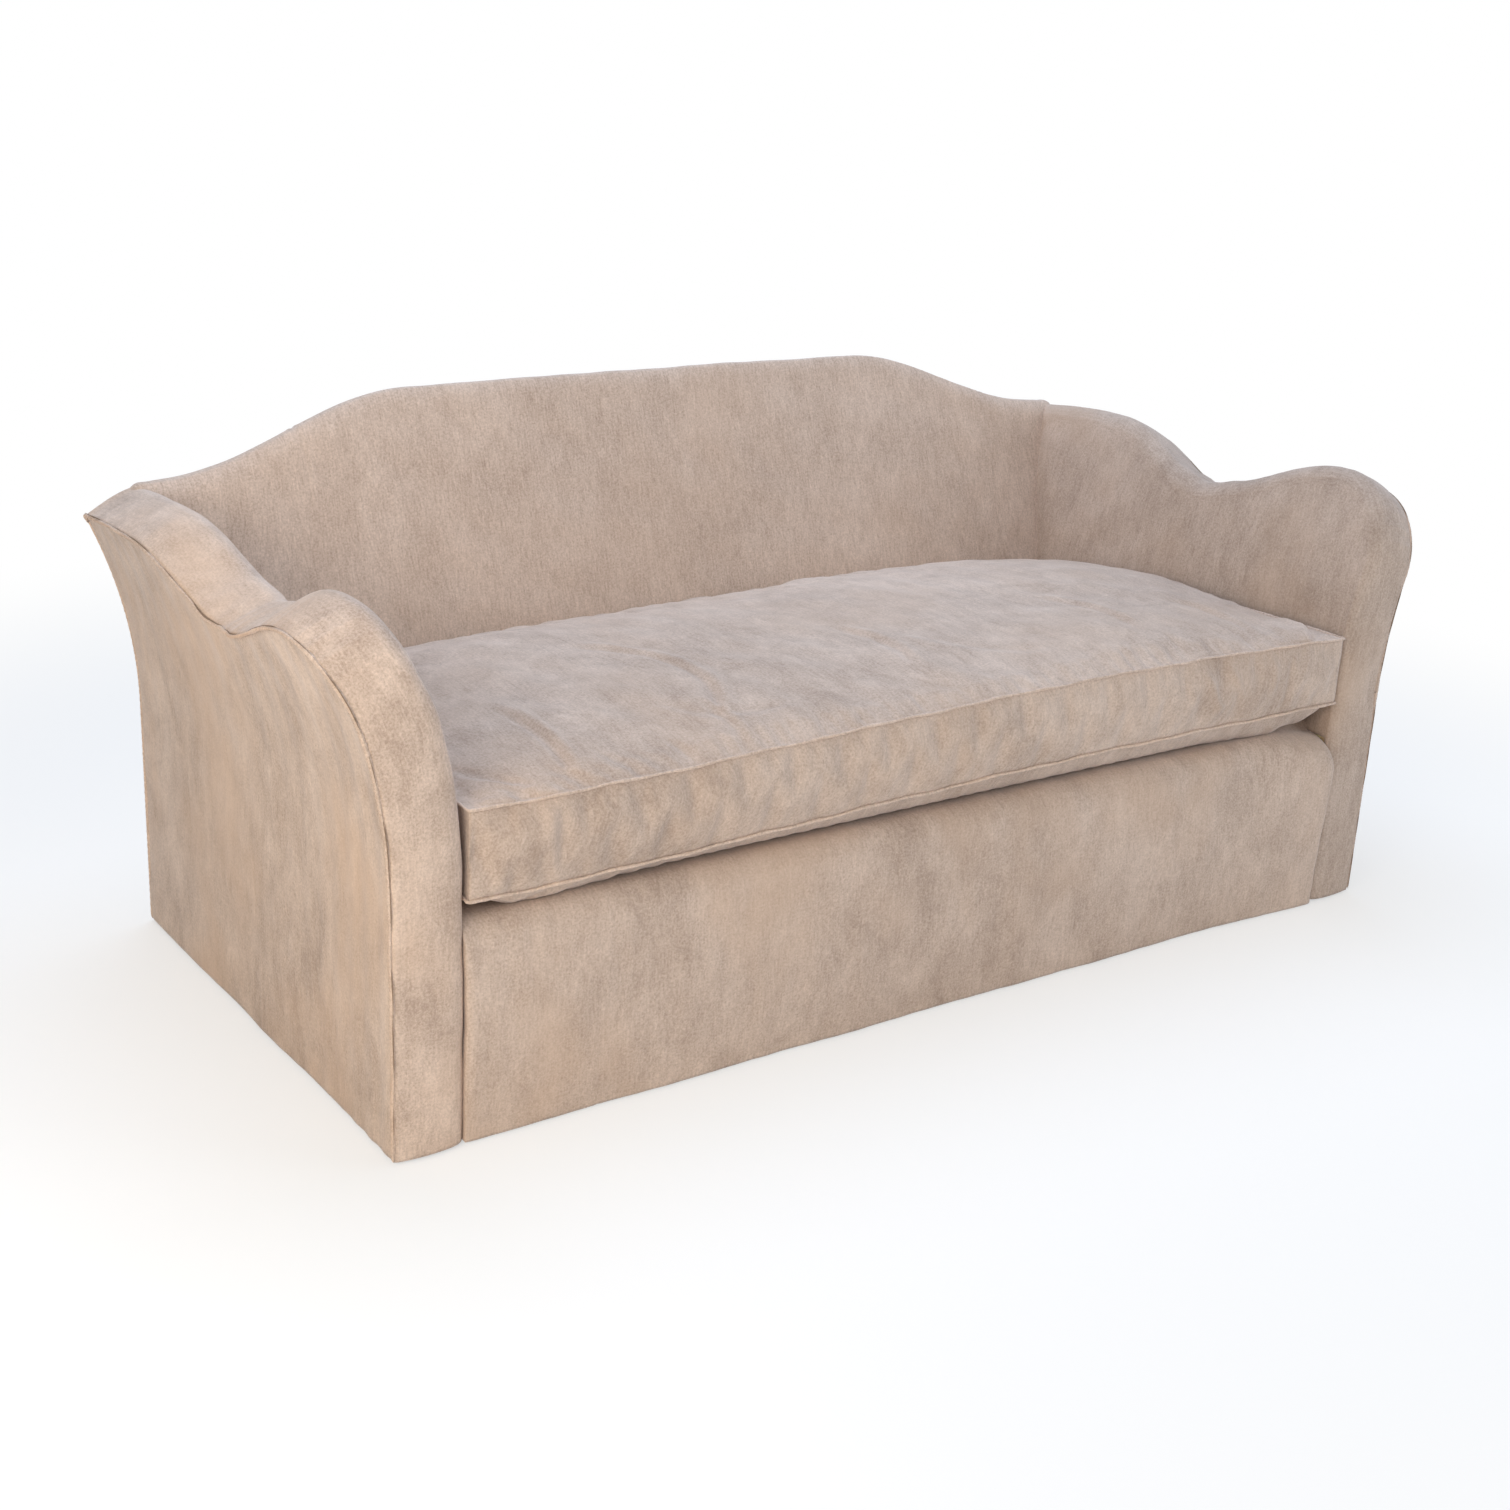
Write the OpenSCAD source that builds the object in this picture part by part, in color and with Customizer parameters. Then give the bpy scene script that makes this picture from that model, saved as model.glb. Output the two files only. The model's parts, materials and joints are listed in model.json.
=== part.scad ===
// Curved sofa with a camel back, flared arms whose tops rise in two humps, and one loose seat cushion.
// X runs across the sofa, Y from the front faces to the back, and Z up from the floor.

/* [Overall] */
// Width across the outside of the arms at the floor
base_w = 1824; // [1500:4:2400]
// Depth from the arm fronts to the outside back at the floor
base_d = 867; // [820:1:960]
// Height of the back at its middle
camel_h = 814; // [790:1:880]
// Gap between the covers and the floor
hem_gap = 5; // [3:1:10]

/* [Arms] */
// Thickness of an arm, covers included
arm_t = 101; // [92:1:125]
// Height at which the arms start to flare
flare_start = 367; // [330:1:400]
// Radius of the flare, on the outside face
flare_r = 730; // [640:1:1100]
// Length of the outside face from the floor to the top of the front hump
lobe_s = 698; // [680:1:730]
// Length of the outside face from the floor to the dip
dip_s = 619; // [605:1:650]
// Length of the outside face from the floor to the top of the rear hump
rear_s = 687; // [660:1:710]
// Length of the outside face from the floor to the arm's rear end
tail_s = 671; // [650:1:690]
// Radius of the front hump's nose
lobe_r = 128; // [110:1:150]
// Distance of the dip from the arm front
dip_y = 413; // [370:1:450]
// Distance of the rear hump from the outside back
rear_run = 214; // [167:1:267]
// Radius of the soft inner edge of an arm
edge_r = 25; // [18:1:32]

/* [Back] */
// Length of the slope on each side of the camel hump
camel_sweep = 430; // [300:1:520]
// Distance of the slope's foot from the arm's inner face
camel_inset = 22; // [10:1:40]
// How far the slope's foot stands above the arm
camel_rise = 5; // [2:1:12]
// Thickness of the back at the deck, from the inside back to the outside back
back_t = 152; // [137:1:187]
// Lean of the inside back, as a share of its height
recline_share = 0.297; // [0.26:0.001:0.31]
// Extra lean that the inside back gains at its top
back_bow = 24; // [12:1:28]
// Height at which the outside back starts to curve
back_flare_start = 350; // [300:1:400]
// Radius of the outside back's curve
back_flare_r = 2000; // [1700:10:3000]
// Height of the rolled top edge of the back
roll_h = 24; // [18:1:30]

/* [Seat] */
// Height of the deck under the cushion
deck_z = 317; // [300:1:340]
// Radius of the soft front edge
front_roll_r = 34; // [24:1:44]
// Depth of the soft front edge
front_roll_d = 74; // [64:1:90]

/* [Cushion] */
// Height of the lower seam above the deck
cushion_low = 43; // [34:1:52]
// Height of the boxing between the two seams
boxing_h = 111; // [90:1:130]
// Crown of the cushion above its upper seam
crown_h = 34; // [24:1:50]
// Gap between the cushion and an arm
side_gap = 2; // [1:0.5:6]
// Gap between the cushion and the inside back
back_gap = 7; // [6:0.5:12]
// How far the front boxing stands proud of the arms
front_proud = 6; // [3:0.5:12]
// How far the cushion's ends pull in between their corners
end_draw = 9; // [4:0.5:14]
// How far the cushion's front pulls in between its corners
front_draw = 4; // [2:0.5:8]
// Radius of the raised seams
welt_r = 1.8; // [1.2:0.1:2.6]
// Length of the cushion's zip
zip_l = 620; // [400:10:900]
// Width of the zip's tape
zip_w = 24; // [18:1:32]
// Thickness of the zip's tape
zip_t = 1.2; // [0.8:0.1:1.6]
// Length of the zip's slider
slider_l = 14; // [10:0.5:20]
// Width of the zip's slider
slider_w = 9; // [6:0.5:12]
// Thickness of the zip's slider
slider_t = 2.6; // [1.8:0.1:3.2]
// Length of the pull tab
tab_l = 22; // [14:1:30]

/* [Covers and padding] */
// Thickness of the pile fabric
cover_t = 2.5; // [1.5:0.1:3.5]
// Thickness of the wadding on the arm fronts, arm tops and front panel
wrap_t = 9.5; // [6:0.5:12]
// Thickness of the stiff board under the outside covers
board_t = 3; // [2:0.5:5]
// Thickness of the webbing
web_t = 2; // [1:0.5:3]
// Width of a webbing strap
web_w = 52; // [40:1:70]
// Thickness of the deck pad
deck_pad_t = 22; // [14:1:28]
// Thickness of the hessian over the springs
hessian_t = 2; // [1:0.5:3]
// Thickness of the dust cover
dust_t = 1; // [0.5:0.1:2]

/* [Timber frame] */
// Thickness of the arm timbers
arm_wood = 38; // [30:1:40]
// Thickness of the seat and base rails
rail_t = 32; // [24:1:38]
// Height of the seat rails
seat_rail_h = 96; // [70:1:110]
// Height of the base rails
base_rail_h = 88; // [60:1:100]
// Thickness of the plywood facing on an arm front
facing_t = 12; // [9:1:18]
// Depth of a post
post_d = 44; // [36:1:56]
// Height of the rail that holds the lower edge of the arm webbing
tack_h = 46; // [36:1:60]
// Length of the outside face from the floor to the underside of the arm top rail
arm_rail_s = 560; // [535:1:575]
// Thickness of the camel rail
camel_t = 22; // [18:1:24]
// Height of the camel rail at its ends
camel_rail_h = 86; // [60:1:100]
// Width of a back upright
upright_w = 46; // [36:1:60]
// Length of a corner block's legs
block_l = 70; // [56:1:90]
// Height of a corner block
block_h = 52; // [40:1:60]

/* [Hardware] */
// Diameter of the spring wire
wire_d = 3.8; // [3:0.1:4.5]
// Width of a zigzag spring
spring_w = 52; // [40:1:64]
// Pitch of a zigzag spring's bars
spring_pitch = 42; // [30:1:60]
// Number of zigzag springs
spring_n = 9; // [5:1:11]
// Length of a spring clip
clip_l = 24; // [18:1:30]
// Thickness of a spring clip's steel
clip_t = 1.5; // [1:0.1:2]
// Diameter of a block screw
screw_d = 5; // [4:0.1:6]
// Diameter of a block screw's head
screw_head_d = 9; // [8:0.1:11]
// Thickness of a block screw's head
screw_head_t = 3; // [2:0.1:4]
// Length of a block screw
screw_l = 70; // [62:1:76]
// Diameter of a glide
glide_d = 30; // [22:1:40]

/* [Hidden] */

$fn = 24;
overrun = 1;
soft_gap = 0.3;
layer_gap = 0.6;
half_w = base_w / 2;
seat_d = base_d - back_t;
rear_y = base_d - rear_run;
front_build = cover_t + wrap_t;
board_out = cover_t + 2 * layer_gap;
board_in = board_out + board_t;
side_build = board_in + layer_gap;
wood_in = side_build + arm_wood;
web_out = wood_in + layer_gap;
foam_out = web_out + web_t + 2 * layer_gap;
cover_in = arm_t - cover_t;
foam_in = cover_in - 2 * layer_gap;
rear_build = side_build + layer_gap;
tuck_in = 14;
inner_x = half_w - arm_t;
rail_end = half_w - wood_in;
seat_rail_top = deck_z - cover_t - deck_pad_t - hessian_t - wire_d - clip_t;
base_z = hem_gap + dust_t;
tack_low = deck_z - tack_h;

// Layout shares: columns of the arm and back surfaces, chosen by hand
nose_shares = [0, 0.2, 0.4, 0.6, 0.8, 1];
slope_shares = [0.2, 0.4, 0.6, 0.8, 1];
rise_shares = [0.15, 0.35, 0.55, 0.75, 0.9, 1];
tail_shares = [0.35, 0.7];
tall_shares = [0, 0.53, 0.61, 0.69, 0.77, 0.85, 0.93, 1];
short_shares = [0, 0.18, 0.34, 0.5, 0.67, 0.84, 1];
rail_shares = [0, 0.33, 0.67, 1];
front_up_shares = [0, 0.64, 0.82];
back_col_shares = [0, 0.25, 0.49, 0.56, 0.64, 0.72, 0.8, 0.88, 0.95, 1];
roll_shares = [0.2, 0.4, 0.6, 0.8, 1];
front_soft_share = 0.4;
edge_share = 1 / 3;
edge_end_share = 1 / 12;
strap_shares = [0.18, 0.5, 0.82];
screw_shares = [0.3, 0.7];
screw_x_share = 0.32;
tie_shares = [0.3, 0.7];
strut_shares = [-0.5, 0, 0.5];
glide_shares = [-1, 0, 1];
swell_share = 0.3;
crown_power = 2.4;
ring_n = 6;

fabric = [0.75, 0.65, 0.55];
fabric_dark = [0.66, 0.57, 0.48];
foam_tint = [0.93, 0.88, 0.7];
wadding_tint = [0.93, 0.93, 0.9];
board_tint = [0.6, 0.52, 0.4];
timber = [0.78, 0.62, 0.42];
plywood = [0.82, 0.7, 0.52];
steel = [0.55, 0.56, 0.58];
webbing_tint = [0.35, 0.3, 0.26];
hessian_tint = [0.68, 0.58, 0.42];
dust_tint = [0.15, 0.15, 0.16];
glide_tint = [0.85, 0.85, 0.83];
core_tint = [0.95, 0.94, 0.9];

// Curves that the covers, the padding and the timbers share
function ease(from, to, share) = from + (to - from) * (1 - cos(180 * share)) / 2;
function flare_deg(s) = max(0, s - flare_start) / flare_r * 180 / PI;
function arm_x(s, n) = s <= flare_start ? half_w - n
    : half_w + flare_r - (flare_r + n) * cos(flare_deg(s));
function arm_z(s, n) = s <= flare_start ? s : flare_start + (flare_r + n) * sin(flare_deg(s));
function arm_line(y) = y < dip_y ? ease(lobe_s, dip_s, (y - lobe_r) / (dip_y - lobe_r))
    : y < rear_y ? ease(dip_s, rear_s, (y - dip_y) / (rear_y - dip_y))
    : rear_s + (tail_s - rear_s) * pow(min(1, (y - rear_y) / (base_d - rear_y)), 2);
function nose_line(y, inset) = lobe_s - lobe_r
    + sqrt(max(0, pow(lobe_r - inset, 2) - pow(lobe_r - y, 2)));
function arm_top(y, inset) = y < lobe_r ? nose_line(y, inset) : arm_line(y) - inset;
function out_y(z) = base_d + back_flare_r
    - sqrt(pow(back_flare_r, 2) - pow(max(0, z - back_flare_start), 2));
function in_y(z) = seat_d + recline_share * (z - deck_z)
    + back_bow * pow(max(0, z - deck_z) / (camel_h - deck_z), 2);
arm_end_z = arm_z(tail_s, arm_t);
function face_x(z, n) = let (rise = max(0, min(z, arm_end_z) - flare_start))
    half_w + flare_r - sqrt(pow(flare_r + n, 2) - pow(rise, 2));
camel_foot = face_x(arm_end_z, arm_t) - camel_inset;
camel_end_z = arm_end_z + camel_rise;
function camel_line(x) = let (share = (abs(x) - camel_foot + camel_sweep) / camel_sweep)
    share <= 0 ? camel_h : share >= 1 ? camel_end_z : ease(camel_h, camel_end_z, share);

rear_most = out_y(camel_h - roll_h);
origin_y = (rear_most - front_proud) / 2;

// Places everything so that the origin is at the middle of the footprint
module placed() {
    translate([0, -origin_y, 0]) children();
}

module sides(right) {
    if (right) children();
    else mirror([1, 0, 0]) children();
}

// Closed solid between two grids of points, a on the near side and b on the far side
function flat(grid) = [for (row = grid) for (p = row) p];
module between(a, b) {
    rows = len(a);
    cols = len(a[0]);
    half = rows * cols;
    quads = [
        for (i = [0 : rows - 2]) for (j = [0 : cols - 2]) [i * cols + j, i * cols + j + 1,
            (i + 1) * cols + j + 1, (i + 1) * cols + j]
    ];
    rim = concat(
        [for (j = [0 : cols - 1]) j],
        [for (i = [1 : rows - 1]) i * cols + cols - 1],
        [for (j = [cols - 2 : -1 : 0]) (rows - 1) * cols + j],
        [for (i = [rows - 2 : -1 : 1]) i * cols]
    );
    faces = concat(
        [for (q = quads) [q[0], q[2], q[1]]],
        [for (q = quads) [q[0], q[3], q[2]]],
        [for (q = quads) [q[0] + half, q[1] + half, q[2] + half]],
        [for (q = quads) [q[0] + half, q[2] + half, q[3] + half]],
        [for (k = [0 : len(rim) - 1]) let (m = (k + 1) % len(rim)) [rim[k], rim[m], rim[m] + half]],
        [for (k = [0 : len(rim) - 1]) let (m = (k + 1) % len(rim))
            [rim[k], rim[m] + half, rim[k] + half]]
    );
    polyhedron(points = concat(flat(a), flat(b)), faces = faces);
}

// Closed solid through a stack of rings that run the same way round
module stacked(rings) {
    count = len(rings[0]);
    last = len(rings) - 1;
    bottom = [for (j = [1 : count - 2]) [0, j, j + 1]];
    top = [for (j = [1 : count - 2]) [last * count, last * count + j + 1, last * count + j]];
    walls = [
        for (i = [0 : last - 1]) for (j = [0 : count - 1]) for (half = [0, 1])
            let (m = (j + 1) % count, low = i * count, high = low + count)
                half == 0 ? [low + j, high + j, high + m] : [low + j, high + m, low + m]
    ];
    polyhedron(points = flat(rings), faces = concat(bottom, top, walls));
}

// Closed hoop through rings that run the same way round, the last of which joins the first
// Its second half takes the other diagonals, so that an inner face runs parallel to the outer one
module hooped(rings) {
    count = len(rings[0]);
    total = len(rings);
    walls = [
        for (i = [0 : total - 1]) for (j = [0 : count - 1])
            let (m = (j + 1) % count, low = i * count, high = (i + 1) % total * count)
                each 2 * i < total
                    ? [[low + j, high + j, high + m], [low + j, high + m, low + m]]
                    : [[low + j, high + j, low + m], [low + m, high + j, high + m]]
    ];
    polyhedron(points = flat(rings), faces = walls);
}

// Arms: surfaces in y along the arm, s up the outside face and n through it
function arm_cols(front) = concat(
    [for (p = nose_shares) lobe_r - (lobe_r - front) * cos(90 * p)],
    [for (p = slope_shares) lobe_r + p * (dip_y - lobe_r)],
    [for (p = rise_shares) dip_y + p * (rear_y - dip_y)],
    [for (p = tail_shares) rear_y + p * (base_d - rear_y)]
);
function rear_point(n, s, rear_inset) = let (z = arm_z(s, n))
    [arm_x(s, n), out_y(z) - rear_inset, z];
function arm_grid(n, low, front, top_inset, rear_inset, shares) = let (
    ys = arm_cols(front), tail = arm_top(base_d, top_inset)
) [
    for (p = shares) concat(
        [
            for (y = ys) let (s = low + p * (arm_top(y, top_inset) - low))
                [arm_x(s, n), y, arm_z(s, n)]
        ],
        [rear_point(n, low + p * (tail - low), rear_inset)]
    )
];
module arm_slab(n0, n1, low, front, top_inset, rear_inset, shares) {
    between(
        arm_grid(n0, low, front, top_inset, rear_inset, shares),
        arm_grid(n1, low, front, top_inset, rear_inset, shares)
    );
}

// On the inner side the columns behind the dip lean with the inside back and end just behind it
function tucked_y(y, z, top_z) = y <= dip_y ? y
    : dip_y + (y - dip_y) * (in_y(z) + tuck_in - dip_y) / (in_y(top_z) + tuck_in - dip_y);
function tucked_grid(cols, n, low, shares) = [
    for (p = shares) [
        for (q = cols) let (s = low + p * (q[1] - low), z = arm_z(s, n), top_z = arm_z(q[1], n))
            [arm_x(s, n), tucked_y(q[0], z, top_z), z]
    ]
];
function tucked_end(inset, n) = let (s = arm_top(base_d, inset)) [[in_y(arm_z(s, n)) + tuck_in, s]];

// The band of an arm: up its front, over the nose and along both humps
function edge_drop(n) = let (past = max(0, n - arm_t + edge_r))
    edge_r - sqrt(max(0, pow(edge_r, 2) - pow(past, 2)));
function soft_inset(inset, drop, p) = inset + drop * (front_soft_share + (1 - front_soft_share) * p);
function band_path(inset, drop) = let (deep = inset + drop) concat(
    [
        for (p = front_up_shares)
            [soft_inset(inset, drop, 0), hem_gap + p * (lobe_s - lobe_r - hem_gap)]
    ],
    [for (p = nose_shares) let (r = lobe_r - soft_inset(inset, drop, p))
        [lobe_r - r * cos(90 * p), lobe_s - lobe_r + r * sin(90 * p)]],
    [for (p = slope_shares) let (y = lobe_r + p * (dip_y - lobe_r)) [y, arm_top(y, deep)]],
    [for (p = rise_shares) let (y = dip_y + p * (rear_y - dip_y)) [y, arm_top(y, deep)]],
    [for (p = tail_shares) let (y = rear_y + p * (base_d - rear_y)) [y, arm_top(y, deep)]]
);
function band_row(n, inset, rear_inset) = let (
    drop = edge_drop(n), s_end = arm_top(base_d, inset + drop)
) concat(
    [for (q = band_path(inset, drop)) [arm_x(q[1], n), q[0], arm_z(q[1], n)]],
    [[arm_x(s_end, n), out_y(arm_z(s_end, n)) - rear_inset, arm_z(s_end, n)]]
);
module band(stations, outer, inner, rear_inset) {
    between(
        [for (n = stations) band_row(n, outer, rear_inset)],
        [for (n = stations) band_row(n, inner, rear_inset)]
    );
}

// Cover panels end on the same line as the band's own edges
function edge_cols(drop) = let (path = band_path(cover_t + soft_gap, drop))
    [for (k = [len(front_up_shares) : len(path) - 1]) path[k]];
function outside_arm_grid(n) = let (tail = arm_top(base_d, cover_t)) [
    for (p = tall_shares) concat(
        [
            for (q = edge_cols(0)) let (s = hem_gap + p * (q[1] - hem_gap))
                [arm_x(s, n), q[0], arm_z(s, n)]
        ],
        [rear_point(n, hem_gap + p * (tail - hem_gap), cover_t + soft_gap)]
    )
];
module arm_outside() {
    color(fabric) between(outside_arm_grid(0), outside_arm_grid(cover_t));
}
module arm_inside() {
    cols = concat(edge_cols(edge_r), tucked_end(cover_t + edge_r, arm_t));
    color(fabric) between(
        tucked_grid(cols, cover_in, back_low, short_shares),
        tucked_grid(cols, arm_t, back_low, short_shares)
    );
}
bend_n = arm_t - edge_r;
border_ns = [0, bend_n / 2, bend_n, arm_t - edge_share * edge_r, arm_t - edge_end_share * edge_r, arm_t];
module arm_border() {
    color(fabric) band(border_ns, 0, cover_t, cover_t);
}
module arm_wadding() {
    color(wadding_tint) band([side_build, bend_n], board_out, front_build, rear_build);
}
function foam_cols(inset, n) = concat(
    [for (y = arm_cols(post_y)) [y, arm_top(y, inset)]],
    tucked_end(inset, n)
);
module arm_foam() {
    top_inset = front_build + 3 * layer_gap;
    out_cols = foam_cols(top_inset, foam_out);
    in_cols = foam_cols(edge_r + top_inset, foam_in);
    color(foam_tint) between(
        tucked_grid(out_cols, foam_out, back_low, short_shares),
        tucked_grid(in_cols, foam_in, back_low, short_shares)
    );
}
module arm_board() {
    color(board_tint) arm_slab(board_out, board_in, base_z, front_build, front_build, rear_build,
        tall_shares);
}
module arm_rail() {
    color(timber) arm_slab(side_build, wood_in, arm_rail_s, front_build, front_build + 2 * layer_gap,
        rear_build, rail_shares);
}

// Raised seam along the outer edge of the band
module arm_welt() {
    row = band_row(0, 0, 0);
    last = len(row) - 1;
    aways = [
        for (k = [0 : last])
            let (t = row[min(last, k + 1)] - row[max(0, k - 1)], u = t / norm(t)) [0, -u[2], u[1]]
    ];
    points = [
        for (k = [0 : last]) for (j = [0 : ring_n - 1])
            let (a = 360 * j / ring_n)
                row[k] + [welt_r + soft_gap, 0, 0] + welt_r * (aways[k] * sin(a) + [cos(a), 0, 0])
    ];
    faces = concat(
        [
            for (k = [0 : last - 1]) for (j = [0 : ring_n - 1]) for (half = [0, 1])
                let (q = (j + 1) % ring_n, low = k * ring_n, high = low + ring_n)
                    half == 0 ? [low + j, low + q, high + q] : [low + j, high + q, high + j]
        ],
        [for (j = [1 : ring_n - 2]) [0, j + 1, j]],
        [for (j = [1 : ring_n - 2]) [last * ring_n, last * ring_n + j, last * ring_n + j + 1]]
    );
    color(fabric_dark) polyhedron(points = points, faces = faces);
}

// Sawn timbers whose outline follows the flare, extruded from front to back
function flare_profile(n0, n1, low, high) = let (
    steps = 6,
    ss = concat([low], high <= flare_start ? [high]
        : [for (k = [0 : steps]) flare_start + (high - flare_start) * k / steps])
) concat(
    [for (s = ss) [arm_x(s, n0), arm_z(s, n0)]],
    [for (k = [len(ss) - 1 : -1 : 0]) [arm_x(ss[k], n1), arm_z(ss[k], n1)]]
);
module flared(n0, n1, low, high, y0, y1) {
    translate([0, y1, 0]) rotate([90, 0, 0])
        linear_extrude(height = y1 - y0) polygon(flare_profile(n0, n1, low, high));
}
post_y = front_build + facing_t;
rear_post_y = base_d - rear_build - post_d;
module front_post() {
    color(timber) flared(side_build, wood_in, base_z, arm_rail_s, post_y, post_y + post_d);
}
module back_post() {
    color(timber) flared(side_build, wood_in, base_z, arm_rail_s, rear_post_y, rear_post_y + post_d);
}
module arm_facing() {
    color(plywood) flared(side_build, foam_in, base_z, arm_rail_s, front_build, post_y);
}
module tack_rails() {
    color(timber) for (side = [0, 1]) mirror([side, 0, 0])
        flared(side_build, wood_in, tack_low, deck_z, post_y + post_d, rear_post_y);
}
module side_base_rails() {
    color(timber) for (side = [0, 1]) mirror([side, 0, 0])
        translate([rail_end, post_y + post_d, base_z])
            cube([arm_wood, rear_post_y - post_y - post_d, base_rail_h]);
}
module side_seat_rails() {
    color(timber) for (side = [0, 1]) mirror([side, 0, 0])
        translate([rail_end - rail_t, post_y + rail_t, seat_rail_top - seat_rail_h])
            cube([rail_t, back_rail_y - post_y - rail_t, seat_rail_h]);
}
module arm_webbing() {
    straps = [for (p = strap_shares) post_y + post_d + p * (rear_post_y - post_y - post_d)];
    low = seat_rail_top + layer_gap;
    high = arm_rail_s + tack_h / 2;
    color(webbing_tint) for (y = straps) {
        grids = [for (n = [web_out, web_out + web_t]) [
            for (p = short_shares) let (s = low + p * (high - low))
                [for (side = [-1, 1]) [arm_x(s, n), y + side * web_w / 2, arm_z(s, n)]]
        ]];
        between(grids[0], grids[1]);
    }
}

// Back: surfaces in x across the sofa and up the section, with the top rolled over
function mirrored(shares) = concat(
    [for (k = [len(shares) - 1 : -1 : 1]) -shares[k]],
    shares
);
back_low = deck_z - cover_t - deck_pad_t;
function roll_z(x) = camel_line(x) - roll_h;
function mid_y(z) = (in_y(z) + out_y(z)) / 2;
function back_half(z) = (out_y(z) - in_y(z)) / 2;
function inside_row(p, deep) = [
    for (u = mirrored(back_col_shares))
        let (x_top = u * face_x(arm_end_z, arm_t), z = back_low + p * (roll_z(x_top) - back_low))
            [u * (face_x(z, arm_t) - 2 * layer_gap), in_y(z) + deep, z]
];
function roll_row(p, deep) = [
    for (u = mirrored(back_col_shares)) let (
        low = roll_z(u * face_x(arm_end_z, arm_t)), a = 180 * p, z = low + (roll_h - deep) * sin(a)
    ) [u * (face_x(z, arm_t) - 2 * layer_gap), mid_y(low) - (back_half(low) - deep) * cos(a), z]
];
module inside_back() {
    color(fabric) between(
        concat([for (p = short_shares) inside_row(p, 0)], [for (p = roll_shares) roll_row(p, 0)]),
        concat(
            [for (p = short_shares) inside_row(p, cover_t)],
            [for (p = roll_shares) roll_row(p, cover_t)]
        )
    );
}

// The back frame leans with the middle of the section
lean_z0 = arm_end_z;
lean_z1 = camel_h - roll_h;
lean_deg = atan((mid_y(lean_z1) - mid_y(lean_z0)) / (lean_z1 - lean_z0));
function lean_y(z) = mid_y(lean_z0) + (z - lean_z0) * tan(lean_deg) - camel_t / cos(lean_deg) / 2;
joint_z = lean_z0 - camel_rail_h * cos(lean_deg);
function web_y(z) = z > joint_z ? lean_y(z)
    : back_rail_y + (lean_y(joint_z) - back_rail_y) * (z - seat_rail_top) / (joint_z - seat_rail_top);
// The foam keeps clear of the straps where they bend over the camel rail's lower edge
bend_reach = 90;
bend_slack = 13;
function foam_rear(z) = web_y(z) - web_t - 2 * layer_gap
    - bend_slack * max(0, 1 - abs(z - joint_z) / bend_reach);
module back_foam() {
    front = [for (p = short_shares) inside_row(p, cover_t + layer_gap)];
    rear = [for (row = front) [for (q = row) [q[0], foam_rear(q[2]), q[2]]]];
    color(foam_tint) between(front, rear);
}

// Camel rail: a sawn board whose top edge follows the hump
camel_reach = face_x(joint_z, wood_in) - layer_gap;
camel_top_inset = cover_t + wrap_t / 2 + camel_t * sin(lean_deg) + 2 * layer_gap;
tenon_z = arm_z(tail_s - edge_r - front_build, arm_t) - camel_t * sin(lean_deg);
function camel_points() = let (steps = 24, reach = camel_foot - camel_inset / 2) [
    for (k = [0 : steps]) let (x = -reach + 2 * reach * k / steps)
        [x, (camel_line(x) - camel_top_inset - lean_z0) / cos(lean_deg)]
];
module camel_rail() {
    tops = camel_points();
    edge = tops[len(tops) - 1][0];
    tenon = (tenon_z - lean_z0) / cos(lean_deg);
    color(timber)
        translate([0, lean_y(lean_z0) + camel_t / cos(lean_deg), lean_z0])
            rotate([90 - lean_deg, 0, 0])
                linear_extrude(height = camel_t)
                    polygon(concat(
                        [[-camel_reach, -camel_rail_h], [-camel_reach, tenon], [-edge, tenon]],
                        tops,
                        [[edge, tenon], [camel_reach, tenon], [camel_reach, -camel_rail_h]]
                    ));
}

// Uprights and straps stand in the gaps between the springs
spring_step = 2 * (inner_x - spring_w / 4) / spring_n;
upright_gap = round(spring_n / 3);
function gap_x(k) = (k - spring_n / 2) * spring_step;
module back_uprights() {
    rise = camel_t * sin(lean_deg);
    color(timber) for (k = [upright_gap, spring_n - upright_gap])
        translate([gap_x(k) - upright_w / 2, 0, 0])
            rotate([90, 0, 90]) linear_extrude(height = upright_w) polygon([
                [back_rail_y, seat_rail_top], [back_rail_y + rail_t, seat_rail_top],
                [lean_y(joint_z) + camel_t * cos(lean_deg), joint_z],
                [lean_y(joint_z) + rise * tan(lean_deg), joint_z + rise]
            ]);
}
module back_webbing() {
    high_z = lean_z0 - camel_rail_h / 2;
    low_z = seat_rail_top - web_w / 3;
    stops = [[back_rail_y, low_z], [back_rail_y, seat_rail_top], [lean_y(joint_z), joint_z],
        [lean_y(high_z), high_z]];
    count = len(stops) - 1;
    gaps = [for (k = [0 : spring_n]) if (k != upright_gap && k != spring_n - upright_gap) k];
    color(webbing_tint) for (k = gaps)
        translate([gap_x(k) - web_w / 2, 0, 0])
            rotate([90, 0, 90]) linear_extrude(height = web_w) polygon(concat(
                [for (i = [0 : count]) stops[i] - [layer_gap, 0]],
                [for (i = [count : -1 : 0]) stops[i] - [web_t + layer_gap, 0]]
            ));
}

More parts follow.
